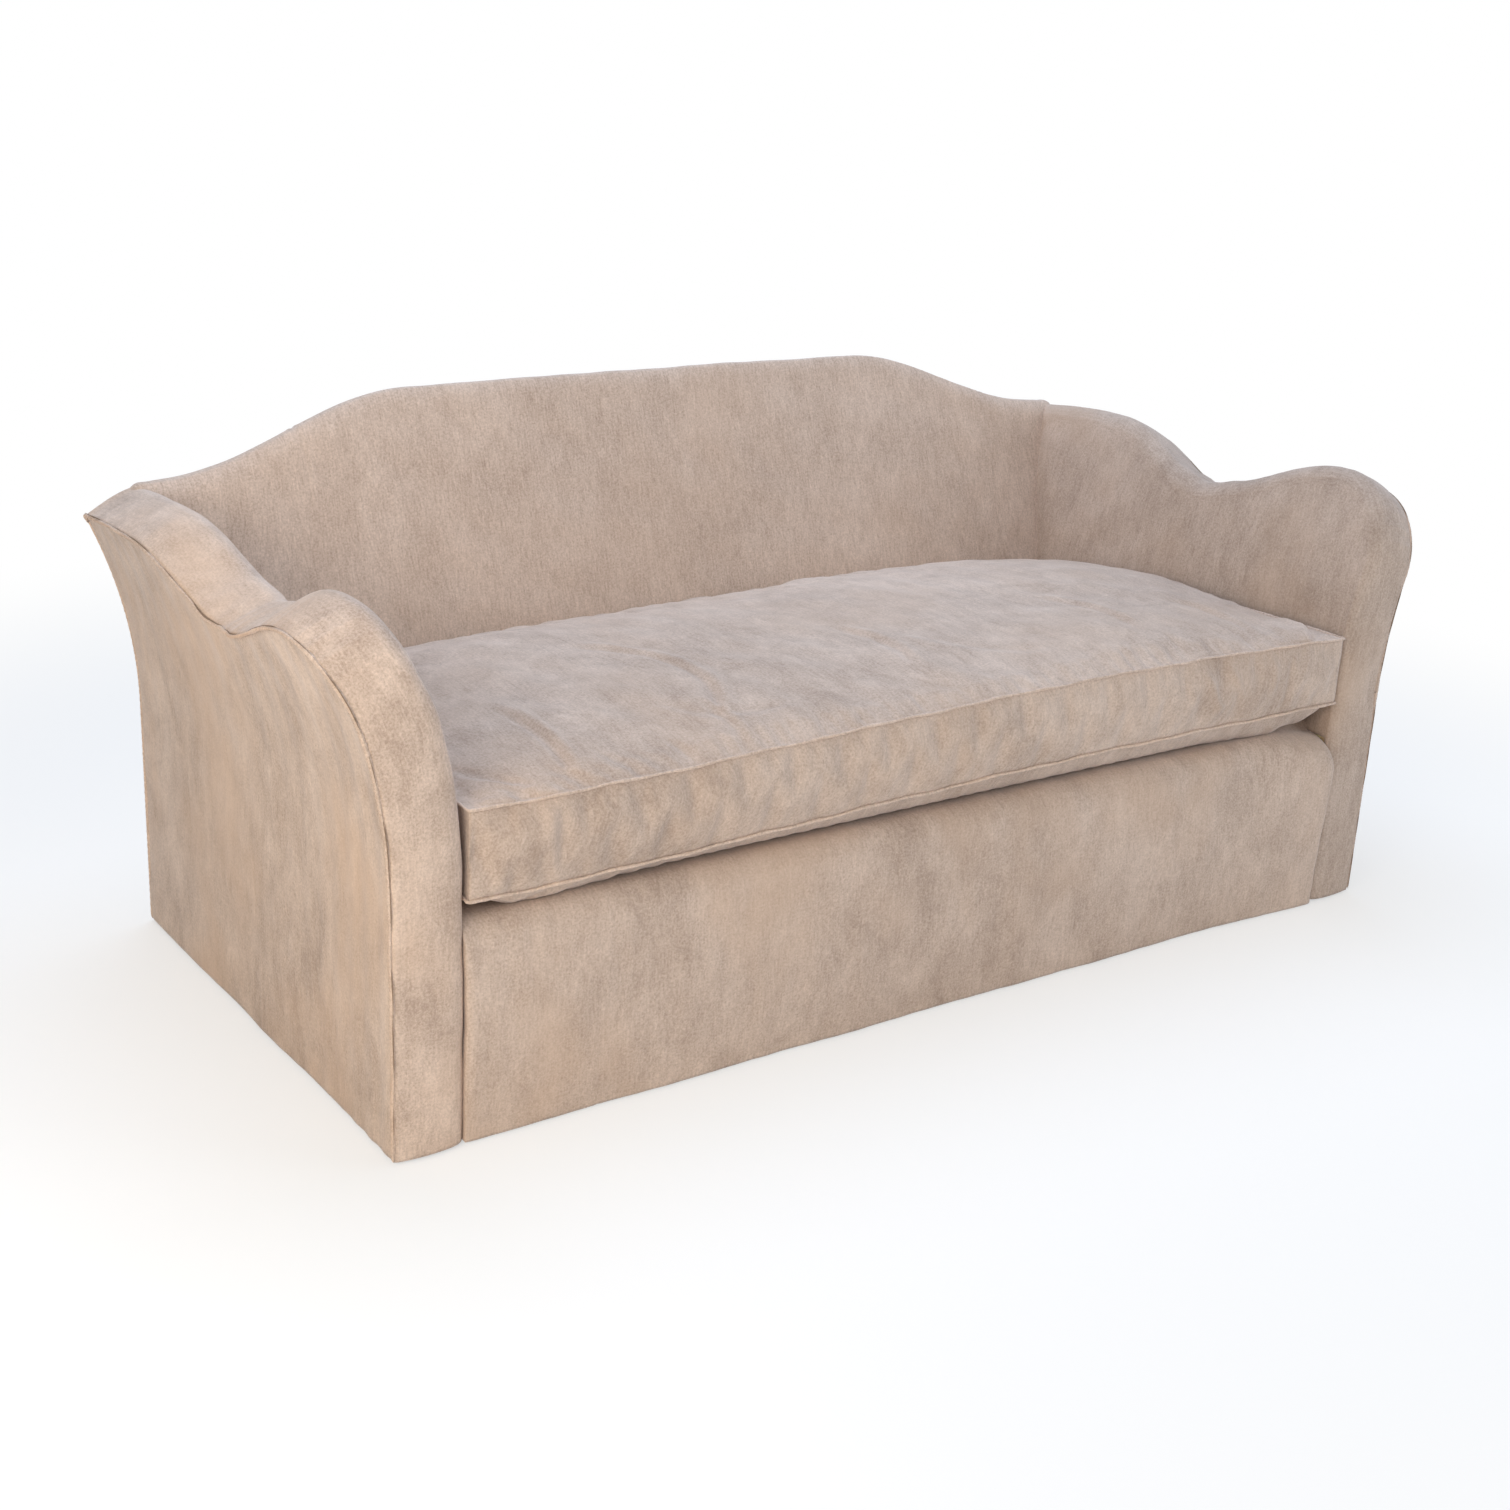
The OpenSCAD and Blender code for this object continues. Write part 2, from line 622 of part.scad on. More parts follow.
// Outside back: spans both arms and stops under the rolled top edge
top_w_share = face_x(arm_end_z, arm_t) / face_x(arm_end_z, 0);
function border_end(n) = let (s = tail_s - edge_drop(n), z = arm_z(s, n))
    [arm_x(s, n) / face_x(z, 0), z];
outside_tops = concat(
    [
        for (u = back_col_shares) if (u < 1)
            [u * top_w_share, roll_z(u * face_x(arm_end_z, arm_t))]
    ],
    [for (k = [len(border_ns) - 1 : -1 : 0]) border_end(border_ns[k])]
);
outside_cols = concat(
    [for (k = [len(outside_tops) - 1 : -1 : 1]) [-outside_tops[k][0], outside_tops[k][1]]],
    outside_tops
);
function outside_grid(deep, inset, low) = [
    for (p = tall_shares) [
        for (q = outside_cols) let (
            z = low + p * (q[1] - inset - layer_gap - low),
            over_arm = max(0, abs(q[0]) - top_w_share) / (1 - top_w_share)
        ) [q[0] * face_x(z, 0) - sign(q[0]) * inset * over_arm, out_y(z) - deep, z]
    ]
];
module outside_back() {
    color(fabric) between(outside_grid(cover_t, 0, hem_gap), outside_grid(0, 0, hem_gap));
}
module back_board() {
    color(board_tint) between(
        outside_grid(board_in, side_build, base_z),
        outside_grid(board_out, side_build, base_z)
    );
}

// Front panel with its soft top edge
module front_section(inset) {
    top = deck_z - inset;
    r = front_roll_r - inset;
    translate([inset, hem_gap]) square([front_roll_d - inset, deck_z - front_roll_r - hem_gap]);
    translate([front_roll_r, hem_gap]) square([front_roll_d - front_roll_r, top - hem_gap]);
    translate([front_roll_r, deck_z - front_roll_r]) circle(r);
}
module across(half_len) {
    translate([-half_len, 0, 0]) rotate([90, 0, 90]) linear_extrude(height = 2 * half_len) children();
}
module front_panel() {
    color(fabric) across(inner_x - soft_gap) difference() {
        front_section(0);
        front_section(cover_t);
        translate([front_roll_r, 0]) square([front_roll_d, deck_z - cover_t]);
    }
}
module front_panel_wadding() {
    color(wadding_tint) across(inner_x - soft_gap) difference() {
        front_section(cover_t);
        front_section(front_build);
        translate([front_roll_r, 0]) square([front_roll_d, deck_z]);
    }
}
module front_edge_roll() {
    color(foam_tint) across(inner_x - soft_gap) difference() {
        front_section(front_build);
        square([front_roll_d + overrun, seat_rail_top + clip_t + wire_d + hessian_t]);
    }
    color(foam_tint) across(inner_x - soft_gap)
        translate([front_roll_r, deck_z - front_build]) square([front_roll_d - front_roll_r, wrap_t]);
}
module deck_cover() {
    low = deck_z - cover_t;
    color(fabric_dark) translate([-inner_x + soft_gap, front_roll_d, low])
        cube([2 * (inner_x - soft_gap), in_y(low) - soft_gap - front_roll_d, cover_t]);
}
module deck_pad() {
    low = deck_z - cover_t - deck_pad_t;
    color(foam_tint) translate([-inner_x + soft_gap, front_roll_d, low])
        cube([2 * (inner_x - soft_gap), in_y(low) - soft_gap - front_roll_d, deck_pad_t]);
}
module deck_hessian() {
    low = seat_rail_top + clip_t + wire_d;
    color(hessian_tint) translate([-rail_end + rail_t, post_y, low])
        cube([2 * (rail_end - rail_t), back_rail_y - 2 * web_t - post_y, hessian_t]);
}
module dust_cover() {
    color(dust_tint) translate([-half_w + side_build, front_build, hem_gap])
        cube([base_w - 2 * side_build, base_d - rear_build - front_build, dust_t]);
}

// Seat and base rails
back_rail_y = base_d - rear_build - rail_t;
module long_rail(y, low, high) {
    translate([-rail_end, y, low]) cube([2 * rail_end, rail_t, high - low]);
}
module front_seat_rail() {
    color(timber) difference() {
        long_rail(post_y, seat_rail_top - seat_rail_h, seat_rail_top);
        block_screws();
    }
}
module front_base_rail() {
    color(timber) long_rail(post_y, base_z, base_z + base_rail_h);
}
module back_seat_rail() {
    color(timber) difference() {
        long_rail(back_rail_y, seat_rail_top - seat_rail_h, seat_rail_top);
        block_screws();
    }
}
module back_base_rail() {
    color(timber) long_rail(back_rail_y, base_z, base_z + base_rail_h);
}
module rail_struts() {
    low = base_z + base_rail_h;
    color(timber) for (y = [post_y, back_rail_y]) for (share = strut_shares)
        translate([share * rail_end - upright_w / 2, y, low])
            cube([upright_w, rail_t, seat_rail_top - seat_rail_h - low]);
}

// Corner blocks behind the seat rails, each with two screws into its rail
block_z = seat_rail_top - seat_rail_h / 2 - block_h / 2;
block_x = rail_end - rail_t;
module at_blocks() {
    for (side = [-1, 1]) for (rear = [0, 1])
        translate([side * block_x, rear == 0 ? post_y + rail_t : back_rail_y, 0])
            scale([side, rear == 0 ? 1 : -1, 1]) children();
}
module corner_blocks() {
    color(timber) difference() {
        at_blocks() translate([0, 0, block_z]) linear_extrude(height = block_h)
            polygon([[0, 0], [-block_l, 0], [0, block_l]]);
        block_screws();
    }
}
module block_screws() {
    at_blocks() for (share = screw_shares)
        translate([-block_l * screw_x_share, 0, block_z + share * block_h]) rotate([90, 0, 0])
            translate([0, 0, -block_l * (1 - screw_x_share) - overrun]) {
                cylinder(d = screw_head_d, h = screw_head_t);
                translate([0, 0, screw_head_t]) cylinder(d = screw_d, h = screw_l);
            }
}
module corner_screws() {
    color(steel) block_screws();
}

// Nail-on glides under the base rails, which press on the dust cover
module glides() {
    spots = [
        for (share = glide_shares) for (y = [post_y + rail_t / 2, back_rail_y + rail_t / 2])
            [share * (rail_end - glide_d), y]
    ];
    color(glide_tint) for (spot = spots) translate([spot[0], spot[1], 0]) {
        cylinder(d1 = glide_d - hem_gap, d2 = glide_d, h = hem_gap / 2);
        translate([0, 0, hem_gap / 2]) cylinder(d = glide_d, h = hem_gap / 2);
    }
}

// Suspension
spring_y0 = post_y + rail_t / 2;
spring_y1 = back_rail_y + rail_t / 2;
spring_z = seat_rail_top + clip_t;
function spring_x(k) = gap_x(k + 0.5);
bars = floor((spring_y1 - spring_y0) / spring_pitch / 2) * 2 + 1;
bar_pitch = (spring_y1 - spring_y0) / (bars - 1);
function zigzag() = [
    for (k = [0 : bars - 1]) for (end = [0, 1])
        [((k + end) % 2 == 0 ? -1 : 1) * spring_w / 2, spring_y0 + k * bar_pitch]
];
function corner_off(path, k, side) = let (
    last = len(path) - 1,
    to = k < last ? path[k + 1] - path[k] : path[k] - path[k - 1],
    was = k > 0 ? path[k] - path[k - 1] : to,
    n1 = [-was[1], was[0]] / norm(was),
    n2 = [-to[1], to[0]] / norm(to)
) path[k] + side * wire_d / 2 * (norm(n1 - n2) < 0.01 ? n1 : n1 + n2);
module seat_springs() {
    path = zigzag();
    last = len(path) - 1;
    outline = concat(
        [for (k = [0 : last]) corner_off(path, k, 1)],
        [for (k = [last : -1 : 0]) corner_off(path, k, -1)]
    );
    color(steel) for (k = [0 : spring_n - 1])
        translate([spring_x(k), 0, spring_z]) linear_extrude(height = wire_d) polygon(outline);
}
module spring_clips() {
    color(steel) for (k = [0 : spring_n - 1]) for (y = [spring_y0, spring_y1])
        translate([spring_x(k) - clip_l / 2, y - rail_t / 4, seat_rail_top])
            cube([clip_l, rail_t / 2, clip_t]);
}
module spring_tie_wires() {
    color(steel) for (share = tie_shares)
        translate([-rail_end + rail_t, spring_y0 + share * (spring_y1 - spring_y0), spring_z - wire_d / 2])
            rotate([0, 90, 0]) cylinder(d = wire_d, h = 2 * (rail_end - rail_t));
}

// Loose seat cushion
low_seam_z = deck_z + cushion_low;
top_seam_z = low_seam_z + boxing_h;
zip_z = low_seam_z + boxing_h / 2;
cushion_half = inner_x - side_gap - 2 * welt_r;
front_n = 12;
end_n = 5;
corner_share = 0.012;
function cushion_rear(z) = in_y(min(max(z, low_seam_z), top_seam_z)) - back_gap;
function side_share(k, count) = corner_share + (1 - 2 * corner_share) * k / count;
// Closed ring of the cushion at height z, drawn in by d from the seams and by deep for the cover
function cushion_ring(d, z, swell = false) = let (
    hx = cushion_half - d, y0 = d, y1 = cushion_rear(z) - d
) concat(
    [for (k = [0 : front_n]) let (p = side_share(k, front_n))
        [-hx + 2 * hx * p, y0 + (swell ? -front_proud * front_swell(p) : front_draw * sin(180 * p)), z]],
    [for (k = [0 : end_n]) let (p = side_share(k, end_n))
        [hx - end_draw * sin(180 * p), y0 + (y1 - y0) * p, z]],
    [for (k = [0 : front_n]) let (p = side_share(k, front_n)) [hx - 2 * hx * p, y1, z]],
    [for (k = [0 : end_n]) let (p = side_share(k, end_n))
        [-hx + end_draw * sin(180 * p), y1 - (y1 - y0) * p, z]]
);
function front_swell(p) = min(1, sin(180 * p) / swell_share);
crown_shares = [0.03, 0.11, 0.26, 0.52, 1];
crown_reach_share = 0.4;
crown_reach = crown_reach_share * cushion_rear(top_seam_z);
function crown(p) = 1 - pow(1 - p, crown_power);
function crown_rings(deep, seam, height) = [
    for (p = crown_shares) cushion_ring(deep + p * crown_reach, seam + height * crown(p))
];
function backwards(rings) = [for (k = [len(rings) - 1 : -1 : 0]) rings[k]];
function top_rings(deep) = crown_rings(deep, top_seam_z - deep, crown_h);
function bottom_rings(deep) = crown_rings(deep, low_seam_z + deep, soft_gap - cushion_low);
module cushion_top_panel() {
    edges = [cushion_ring(cover_t, top_seam_z), cushion_ring(0, top_seam_z)];
    color(fabric) stacked(concat(backwards(top_rings(cover_t)), edges, top_rings(0)));
}
module cushion_bottom_panel() {
    edges = [cushion_ring(0, low_seam_z), cushion_ring(cover_t, low_seam_z)];
    color(fabric) stacked(concat(backwards(bottom_rings(0)), edges, bottom_rings(cover_t)));
}
module cushion_boxing() {
    color(fabric) hooped([
        for (z = [low_seam_z, zip_z, top_seam_z]) cushion_ring(0, z, z == zip_z),
        for (z = [top_seam_z, zip_z, low_seam_z]) cushion_ring(cover_t, z, z == zip_z)
    ]);
}
module cushion_core() {
    deep = cover_t + layer_gap;
    color(core_tint) stacked(concat(
        backwards(bottom_rings(deep)),
        [cushion_ring(deep, low_seam_z + deep)],
        [cushion_ring(deep, zip_z, true)],
        [cushion_ring(deep, top_seam_z - deep)],
        top_rings(deep)
    ));
}
module cushion_welt(z) {
    loop = cushion_ring(0, z);
    count = len(loop);
    outs = [
        for (k = [0 : count - 1]) let (
            t = loop[(k + 1) % count] - loop[(k + count - 1) % count], n = [t[1], -t[0], 0]
        ) n / norm(n)
    ];
    gap = welt_r + soft_gap;
    color(fabric_dark) hooped([
        for (j = [0 : ring_n - 1]) let (a = 360 * j / ring_n) [
            for (k = [0 : count - 1])
                loop[k] + (gap + welt_r * cos(a)) * outs[k] + [0, 0, welt_r * sin(a)]
        ]
    ]);
}
zip_lean = atan((cushion_rear(top_seam_z) - cushion_rear(low_seam_z)) / boxing_h);
module on_rear_boxing(proud) {
    translate([0, cushion_rear(zip_z) + proud / cos(zip_lean), zip_z]) rotate([-zip_lean, 0, 0])
        children();
}
module cushion_zip() {
    color(fabric_dark) on_rear_boxing(soft_gap)
        translate([-zip_l / 2, 0, -zip_w / 2]) cube([zip_l, zip_t, zip_w]);
}
module zip_slider() {
    color(steel) on_rear_boxing(2 * soft_gap + zip_t)
        translate([-zip_l / 2, 0, -slider_w / 2]) {
            cube([slider_l, slider_t, slider_w]);
            translate([-tab_l, slider_t / 4, slider_w / 4])
                cube([tab_l + overrun, slider_t / 2, slider_w / 2]);
        }
}

placed() sides(false) arm_outside();  // left_outside_arm
placed() sides(true) arm_outside();  // right_outside_arm
placed() sides(false) arm_inside();  // left_inside_arm
placed() sides(true) arm_inside();  // right_inside_arm
placed() sides(false) arm_border();  // left_arm_border
placed() sides(true) arm_border();  // right_arm_border
placed() sides(false) arm_welt();  // left_arm_welt
placed() sides(true) arm_welt();  // right_arm_welt
placed() inside_back();
placed() outside_back();
placed() front_panel();
placed() deck_cover();
placed() dust_cover();
placed() cushion_top_panel();
placed() cushion_boxing();
placed() cushion_bottom_panel();
placed() cushion_core();
placed() cushion_welt(top_seam_z);  // cushion_top_welt
placed() cushion_welt(low_seam_z);  // cushion_bottom_welt
placed() cushion_zip();
placed() zip_slider();
placed() sides(false) arm_foam();  // left_arm_foam
placed() sides(true) arm_foam();  // right_arm_foam
placed() sides(false) arm_wadding();  // left_arm_wadding
placed() sides(true) arm_wadding();  // right_arm_wadding
placed() sides(false) arm_board();  // left_arm_board
placed() sides(true) arm_board();  // right_arm_board
placed() back_board();
placed() back_foam();
placed() front_panel_wadding();
placed() front_edge_roll();
placed() deck_pad();
placed() deck_hessian();
placed() sides(false) arm_webbing();  // left_arm_webbing
placed() sides(true) arm_webbing();  // right_arm_webbing
placed() back_webbing();
placed() seat_springs();
placed() spring_clips();
placed() spring_tie_wires();
placed() front_seat_rail();
placed() front_base_rail();
placed() rail_struts();
placed() back_seat_rail();
placed() back_base_rail();
placed() side_seat_rails();
placed() side_base_rails();
placed() sides(false) front_post();  // left_front_post
placed() sides(true) front_post();  // right_front_post
placed() sides(false) back_post();  // left_back_post
placed() sides(true) back_post();  // right_back_post
placed() sides(false) arm_facing();  // left_arm_facing
placed() sides(true) arm_facing();  // right_arm_facing
placed() sides(false) arm_rail();  // left_arm_rail
placed() sides(true) arm_rail();  // right_arm_rail
placed() tack_rails();
placed() camel_rail();
placed() back_uprights();
placed() corner_blocks();
placed() corner_screws();
placed() glides();
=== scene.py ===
import json
import math
import bpy
import numpy as np
from mathutils import Matrix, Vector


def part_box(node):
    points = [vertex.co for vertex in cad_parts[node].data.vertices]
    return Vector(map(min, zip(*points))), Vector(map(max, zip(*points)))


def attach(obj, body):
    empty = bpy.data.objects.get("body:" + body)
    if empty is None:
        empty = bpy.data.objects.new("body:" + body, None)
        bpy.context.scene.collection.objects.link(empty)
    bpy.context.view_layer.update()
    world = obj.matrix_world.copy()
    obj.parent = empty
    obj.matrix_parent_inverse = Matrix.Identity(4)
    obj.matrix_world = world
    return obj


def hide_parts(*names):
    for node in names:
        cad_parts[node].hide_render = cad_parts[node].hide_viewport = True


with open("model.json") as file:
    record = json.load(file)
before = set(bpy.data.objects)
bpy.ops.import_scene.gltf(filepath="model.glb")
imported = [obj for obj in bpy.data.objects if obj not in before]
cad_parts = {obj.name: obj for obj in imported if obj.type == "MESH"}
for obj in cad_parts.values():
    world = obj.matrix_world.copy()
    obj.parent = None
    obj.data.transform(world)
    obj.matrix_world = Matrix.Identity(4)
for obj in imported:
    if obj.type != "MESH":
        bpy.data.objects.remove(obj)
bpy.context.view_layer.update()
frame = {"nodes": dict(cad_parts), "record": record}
print("frame loaded:", len(frame["nodes"]), "nodes")

view = {
    "place": (-1.9802, -2.6728, 1.4666),
    "yaw": -35.89, "pitch": -19.98, "roll": 2.92,  # degrees
    "lens": 51.64, "sensor": 36.0, "farthest": 60,
}


def standing(right, up, back, place):
    # the matrix whose columns are an object's three axes and its place
    rows = np.eye(4)
    rows[:3] = np.stack([right, up, back, place], axis=1)
    return Matrix(rows.tolist())


def aimCamera(settings):
    # the camera looks along +Y turned by yaw and pitch, then rolls about its own line of sight
    yaw, pitch, roll = (math.radians(settings[k]) for k in ("yaw", "pitch", "roll"))
    ahead = np.array([-math.sin(yaw) * math.cos(pitch), math.cos(yaw) * math.cos(pitch), math.sin(pitch)])
    right = np.array([math.cos(yaw), math.sin(yaw), 0.0])
    up = np.cross(right, ahead)
    turnedRight = right * math.cos(roll) + up * math.sin(roll)
    turnedUp = up * math.cos(roll) - right * math.sin(roll)
    lens = bpy.data.cameras.new("camera")
    lens.lens, lens.sensor_width, lens.clip_end = settings["lens"], settings["sensor"], settings["farthest"]
    camera = bpy.data.objects.new("camera", lens)
    bpy.context.scene.collection.objects.link(camera)
    camera.matrix_world = standing(turnedRight, turnedUp, -ahead, settings["place"])
    bpy.context.scene.camera = camera


aimCamera(view)
print("camera aimed")

sofa = {  # the part's own sizes, in metres; y runs from the arm fronts
    "halfWidth": 0.912, "depth": 0.867, "camelHigh": 0.814, "hem": 0.005, "frontY": -0.455,
    "armThick": 0.101, "flareStart": 0.367, "flareRadius": 0.730,
    "frontHump": 0.698, "dip": 0.619, "rearHump": 0.687, "tail": 0.671,
    "noseRadius": 0.128, "dipY": 0.413, "rearHumpY": 0.653, "softEdge": 0.025, "frontSoft": 0.4,
    "camelSweep": 0.430, "camelInset": 0.022, "camelRise": 0.005,
    "seatDepth": 0.715, "recline": 0.297, "backBow": 0.024, "backFlareStart": 0.350, "backFlareRadius": 2.0,
    "rollHigh": 0.024, "deck": 0.317, "cloth": 0.0025,
    "deepest": 0.0021,  # how far a cover may sink before what is under it would show
    "rearShort": 0.001,  # the arms' covers end this far inside the outside back
}
innerX = sofa["halfWidth"] - sofa["armThick"]


def ease(low, high, share):
    # half a cosine wave from low to high
    return low + (high - low) * (1 - np.cos(np.pi * share)) / 2


def soft(share):
    # 3 t^2 - 2 t^3 between 0 and 1
    t = np.clip(share, 0, 1)
    return t * t * (3 - 2 * t)


def armX(s, n):
    # straight up to the flare, then an arc about a centre outside the arm; n runs through the arm
    turn = np.maximum(0, s - sofa["flareStart"]) / sofa["flareRadius"]
    return sofa["halfWidth"] + sofa["flareRadius"] - (sofa["flareRadius"] + n) * np.cos(turn)


def armZ(s, n):
    # height of the same arc
    turn = np.maximum(0, s - sofa["flareStart"]) / sofa["flareRadius"]
    return np.minimum(s, sofa["flareStart"]) + (sofa["flareRadius"] + n) * np.sin(turn)


def armLine(y):
    # length up the outside face to the arm's top: down to the dip, up to the rear hump, gently down to the back
    front = ease(sofa["frontHump"], sofa["dip"], (y - sofa["noseRadius"]) / (sofa["dipY"] - sofa["noseRadius"]))
    rear = ease(sofa["dip"], sofa["rearHump"], (y - sofa["dipY"]) / (sofa["rearHumpY"] - sofa["dipY"]))
    past = np.clip((y - sofa["rearHumpY"]) / (sofa["depth"] - sofa["rearHumpY"]), 0, 1)
    tail = sofa["rearHump"] + (sofa["tail"] - sofa["rearHump"]) * past ** 2
    return np.where(y < sofa["dipY"], front, np.where(y < sofa["rearHumpY"], rear, tail))


def faceX(z, n):
    # the arm's face at height z, n into the arm
    top = armZ(sofa["tail"], sofa["armThick"])
    rise = np.maximum(0, np.minimum(z, top) - sofa["flareStart"])
    return sofa["halfWidth"] + sofa["flareRadius"] - np.sqrt((sofa["flareRadius"] + n) ** 2 - rise ** 2)


def outY(z):
    # outside back: upright, then a long arc backwards
    rise = np.maximum(0, z - sofa["backFlareStart"])
    return sofa["depth"] + sofa["backFlareRadius"] - np.sqrt(sofa["backFlareRadius"] ** 2 - rise ** 2)


def inY(z):
    # inside back: a leaning line that bows further back towards its top
    up = np.maximum(0, z - sofa["deck"])
    return (sofa["seatDepth"] + sofa["recline"] * (z - sofa["deck"])
            + sofa["backBow"] * (up / (sofa["camelHigh"] - sofa["deck"])) ** 2)


armEndX = float(faceX(armZ(sofa["tail"], sofa["armThick"]), sofa["armThick"]))
camelFoot = armEndX - sofa["camelInset"]
camelEnd = float(armZ(sofa["tail"], sofa["armThick"])) + sofa["camelRise"]


def camelLine(x):
    # top of the back: level in the middle, half a cosine wave down to each arm
    share = np.clip((np.abs(x) - camelFoot + sofa["camelSweep"]) / sofa["camelSweep"], 0, 1)
    return ease(sofa["camelHigh"], camelEnd, share)


swirlPeak = 1.6  # brings a sum of twelve waves to about -1 to 1


def swirl(points, seed, low, high, waves=12):
    # sum of sine waves in seeded directions, wavelengths from low to high metres, about -1 to 1
    rng = np.random.default_rng(seed)
    total = np.zeros(points.shape[:-1])
    for _ in range(waves):
        way = rng.normal(size=3)
        way *= 2 * np.pi / rng.uniform(low, high) / np.linalg.norm(way)
        total = total + np.sin(points @ way + rng.uniform(0, 2 * np.pi))
    return total / math.sqrt(waves / 2) / swirlPeak


def rippled(points, *waves):
    # a sum of swirls, each given as its height, seed, shortest and longest wave
    return sum(height * swirl(points, seed, low, high) for height, seed, low, high in waves)


def gathered(x, waves, shift=0, lean=0):
    # sin(2 pi x / pitch + sway sin(turn x + shift) + lean)
    pitch, sway, turn = waves
    return np.sin(2 * np.pi * x / pitch + sway * np.sin(turn * x + shift) + lean)


def beating(length, waves):
    # 1 + the sum of height sin(rate length)
    return sum((height * np.sin(length * rate) for height, rate in waves), start=1)


def bell(distance, wide):
    # exp(-(distance / wide)^2)
    return np.exp(-(distance / wide) ** 2)


def besideEdge(edge, reach, start):
    # rises over start from 0 at an edge, then dies away over reach
    return np.exp(-edge / reach) * np.clip(edge / start, 0, 1)


def stitched(*parts):
    # coordinates broadcast to one shape and stacked into points
    return np.stack(np.broadcast_arrays(*parts), axis=-1).astype(float)


tiny = 1e-12  # keeps a division from zero
samePlace = 1e-6  # what counts as no distance, in metres or in shares


def gridNormals(points, outward):
    # cross product of the two grid directions, turned to the side of the outward direction
    normal = np.cross(np.gradient(points, axis=1), np.gradient(points, axis=0))
    normal /= np.maximum(tiny, np.linalg.norm(normal, axis=-1, keepdims=True))
    return normal * (1 if np.sum(normal * outward) >= 0 else -1)


def pushed(points, outward, amount):
    # each point moved along the surface's normal by amount, inwards no further than the padding allows
    return points + gridNormals(points, outward) * np.maximum(amount, -sofa["deepest"])[..., None]


def eased(points, middle, reach, passes):
    # the rows near the middle one smoothed by repeated quarter, half, quarter averages up the columns
    band = slice(middle - reach, middle + reach + 1)
    for _ in range(passes):
        rows = points[band]
        rows[1:-1] = rows[:-2] / 4 + rows[1:-1] / 2 + rows[2:] / 4
    return points


def clothUv(points):
    # lengths along the rows and up the columns, in metres, so that a weave keeps its size
    steps = np.linalg.norm(np.diff(points, axis=1), axis=-1)
    across = np.concatenate([np.zeros((len(points), 1)), np.cumsum(steps, axis=1)], axis=1)
    rises = np.linalg.norm(np.diff(points, axis=0), axis=-1)
    up = np.concatenate([np.zeros((1, points.shape[1])), np.cumsum(rises, axis=0)], axis=0)
    middle = points.shape[1] // 2
    return np.stack([across - across[:, middle:middle + 1], up], axis=-1)


def lengthOf(path):
    # length along a path up to each of its points
    return np.concatenate([[0], np.cumsum(np.linalg.norm(np.diff(path, axis=0), axis=1))])


def framed(path, way):
    # the direction along a path at each point, and the given way turned square to it
    along = np.gradient(path, axis=0)
    along /= np.linalg.norm(along, axis=1, keepdims=True)
    out = way - along * np.sum(way * along, axis=1, keepdims=True)
    return along, out / np.linalg.norm(out, axis=1, keepdims=True)


sameDigits = 7  # points that agree to a ten-millionth of a metre are one point


def makeMesh(name, points, quads, uv=None):
    # points that lie on one another become one vertex; the uv belongs to the face corners
    flat, corners = points.reshape(-1, 3), quads.reshape(-1, quads.shape[-1])
    kept, place = np.unique(np.round(flat, sameDigits), axis=0, return_inverse=True)
    loops = place.ravel()[corners].astype(np.int32)
    mesh = bpy.data.meshes.new(name)
    mesh.vertices.add(len(kept))
    mesh.vertices.foreach_set("co", kept.astype(np.float32).ravel())
    mesh.loops.add(loops.size)
    mesh.loops.foreach_set("vertex_index", loops.ravel())
    mesh.polygons.add(len(loops))
    mesh.polygons.foreach_set("loop_start", np.arange(0, loops.size, loops.shape[1], dtype=np.int32))
    mesh.update(calc_edges=True)
    if uv is not None:
        layer = mesh.uv_layers.new(name="cloth")
        layer.data.foreach_set("uv", uv.reshape(-1, 2)[corners.ravel()].astype(np.float32).ravel())
    mesh.validate()
    mesh.shade_smooth()
    piece = bpy.data.objects.new(name, mesh)
    bpy.context.scene.collection.objects.link(piece)
    return piece


def gridQuads(rows, cols, roundCols=False, roundRows=False):
    # the faces between neighbouring rows and columns, each as four point numbers
    i = np.arange(rows if roundRows else rows - 1)[:, None]
    j = np.arange(cols if roundCols else cols - 1)[None, :]
    i2, j2 = (i + 1) % rows, (j + 1) % cols
    return np.stack([i * cols + j, i * cols + j2, i2 * cols + j2, i2 * cols + j], axis=-1).reshape(-1, 4)


def wound(quads, first, along, around, outward):
    # the faces, turned round where (along - first) x (around - first) looks inwards
    return quads if np.dot(np.cross(along - first, around - first), outward) >= 0 else quads[:, ::-1]


def facing(points, outward):
    # the grid's faces, wound so that they look outwards
    quads = gridQuads(points.shape[0], points.shape[1])
    normal = np.cross(np.gradient(points, axis=1), np.gradient(points, axis=0))
    return quads if np.sum(normal * outward) >= 0 else quads[:, ::-1]


def clothPiece(name, grids, thick=0.0):
    # one sheet sewn from grids of (points, outward direction, uv), its thickness laid inwards
    start, quads = 0, []
    for points, outward, _ in grids:
        quads.append(facing(points, outward) + start)
        start += points.shape[0] * points.shape[1]
    flat = np.concatenate([points.reshape(-1, 3) for points, _, _ in grids])
    uv = np.concatenate([(clothUv(points) if own is None else own).reshape(-1, 2) for points, _, own in grids])
    piece = makeMesh(name, flat, np.concatenate(quads), uv)
    if thick:
        shell = piece.modifiers.new("thickness", "SOLIDIFY")
        shell.thickness, shell.offset, shell.use_even_offset = thick, -1, False
    return piece


def ringOf(grid):
    # the border of a grid as one closed row: front, right, back, left
    return np.concatenate([grid[0, :-1], grid[:-1, -1], grid[-1, :0:-1], grid[:0:-1, 0]])


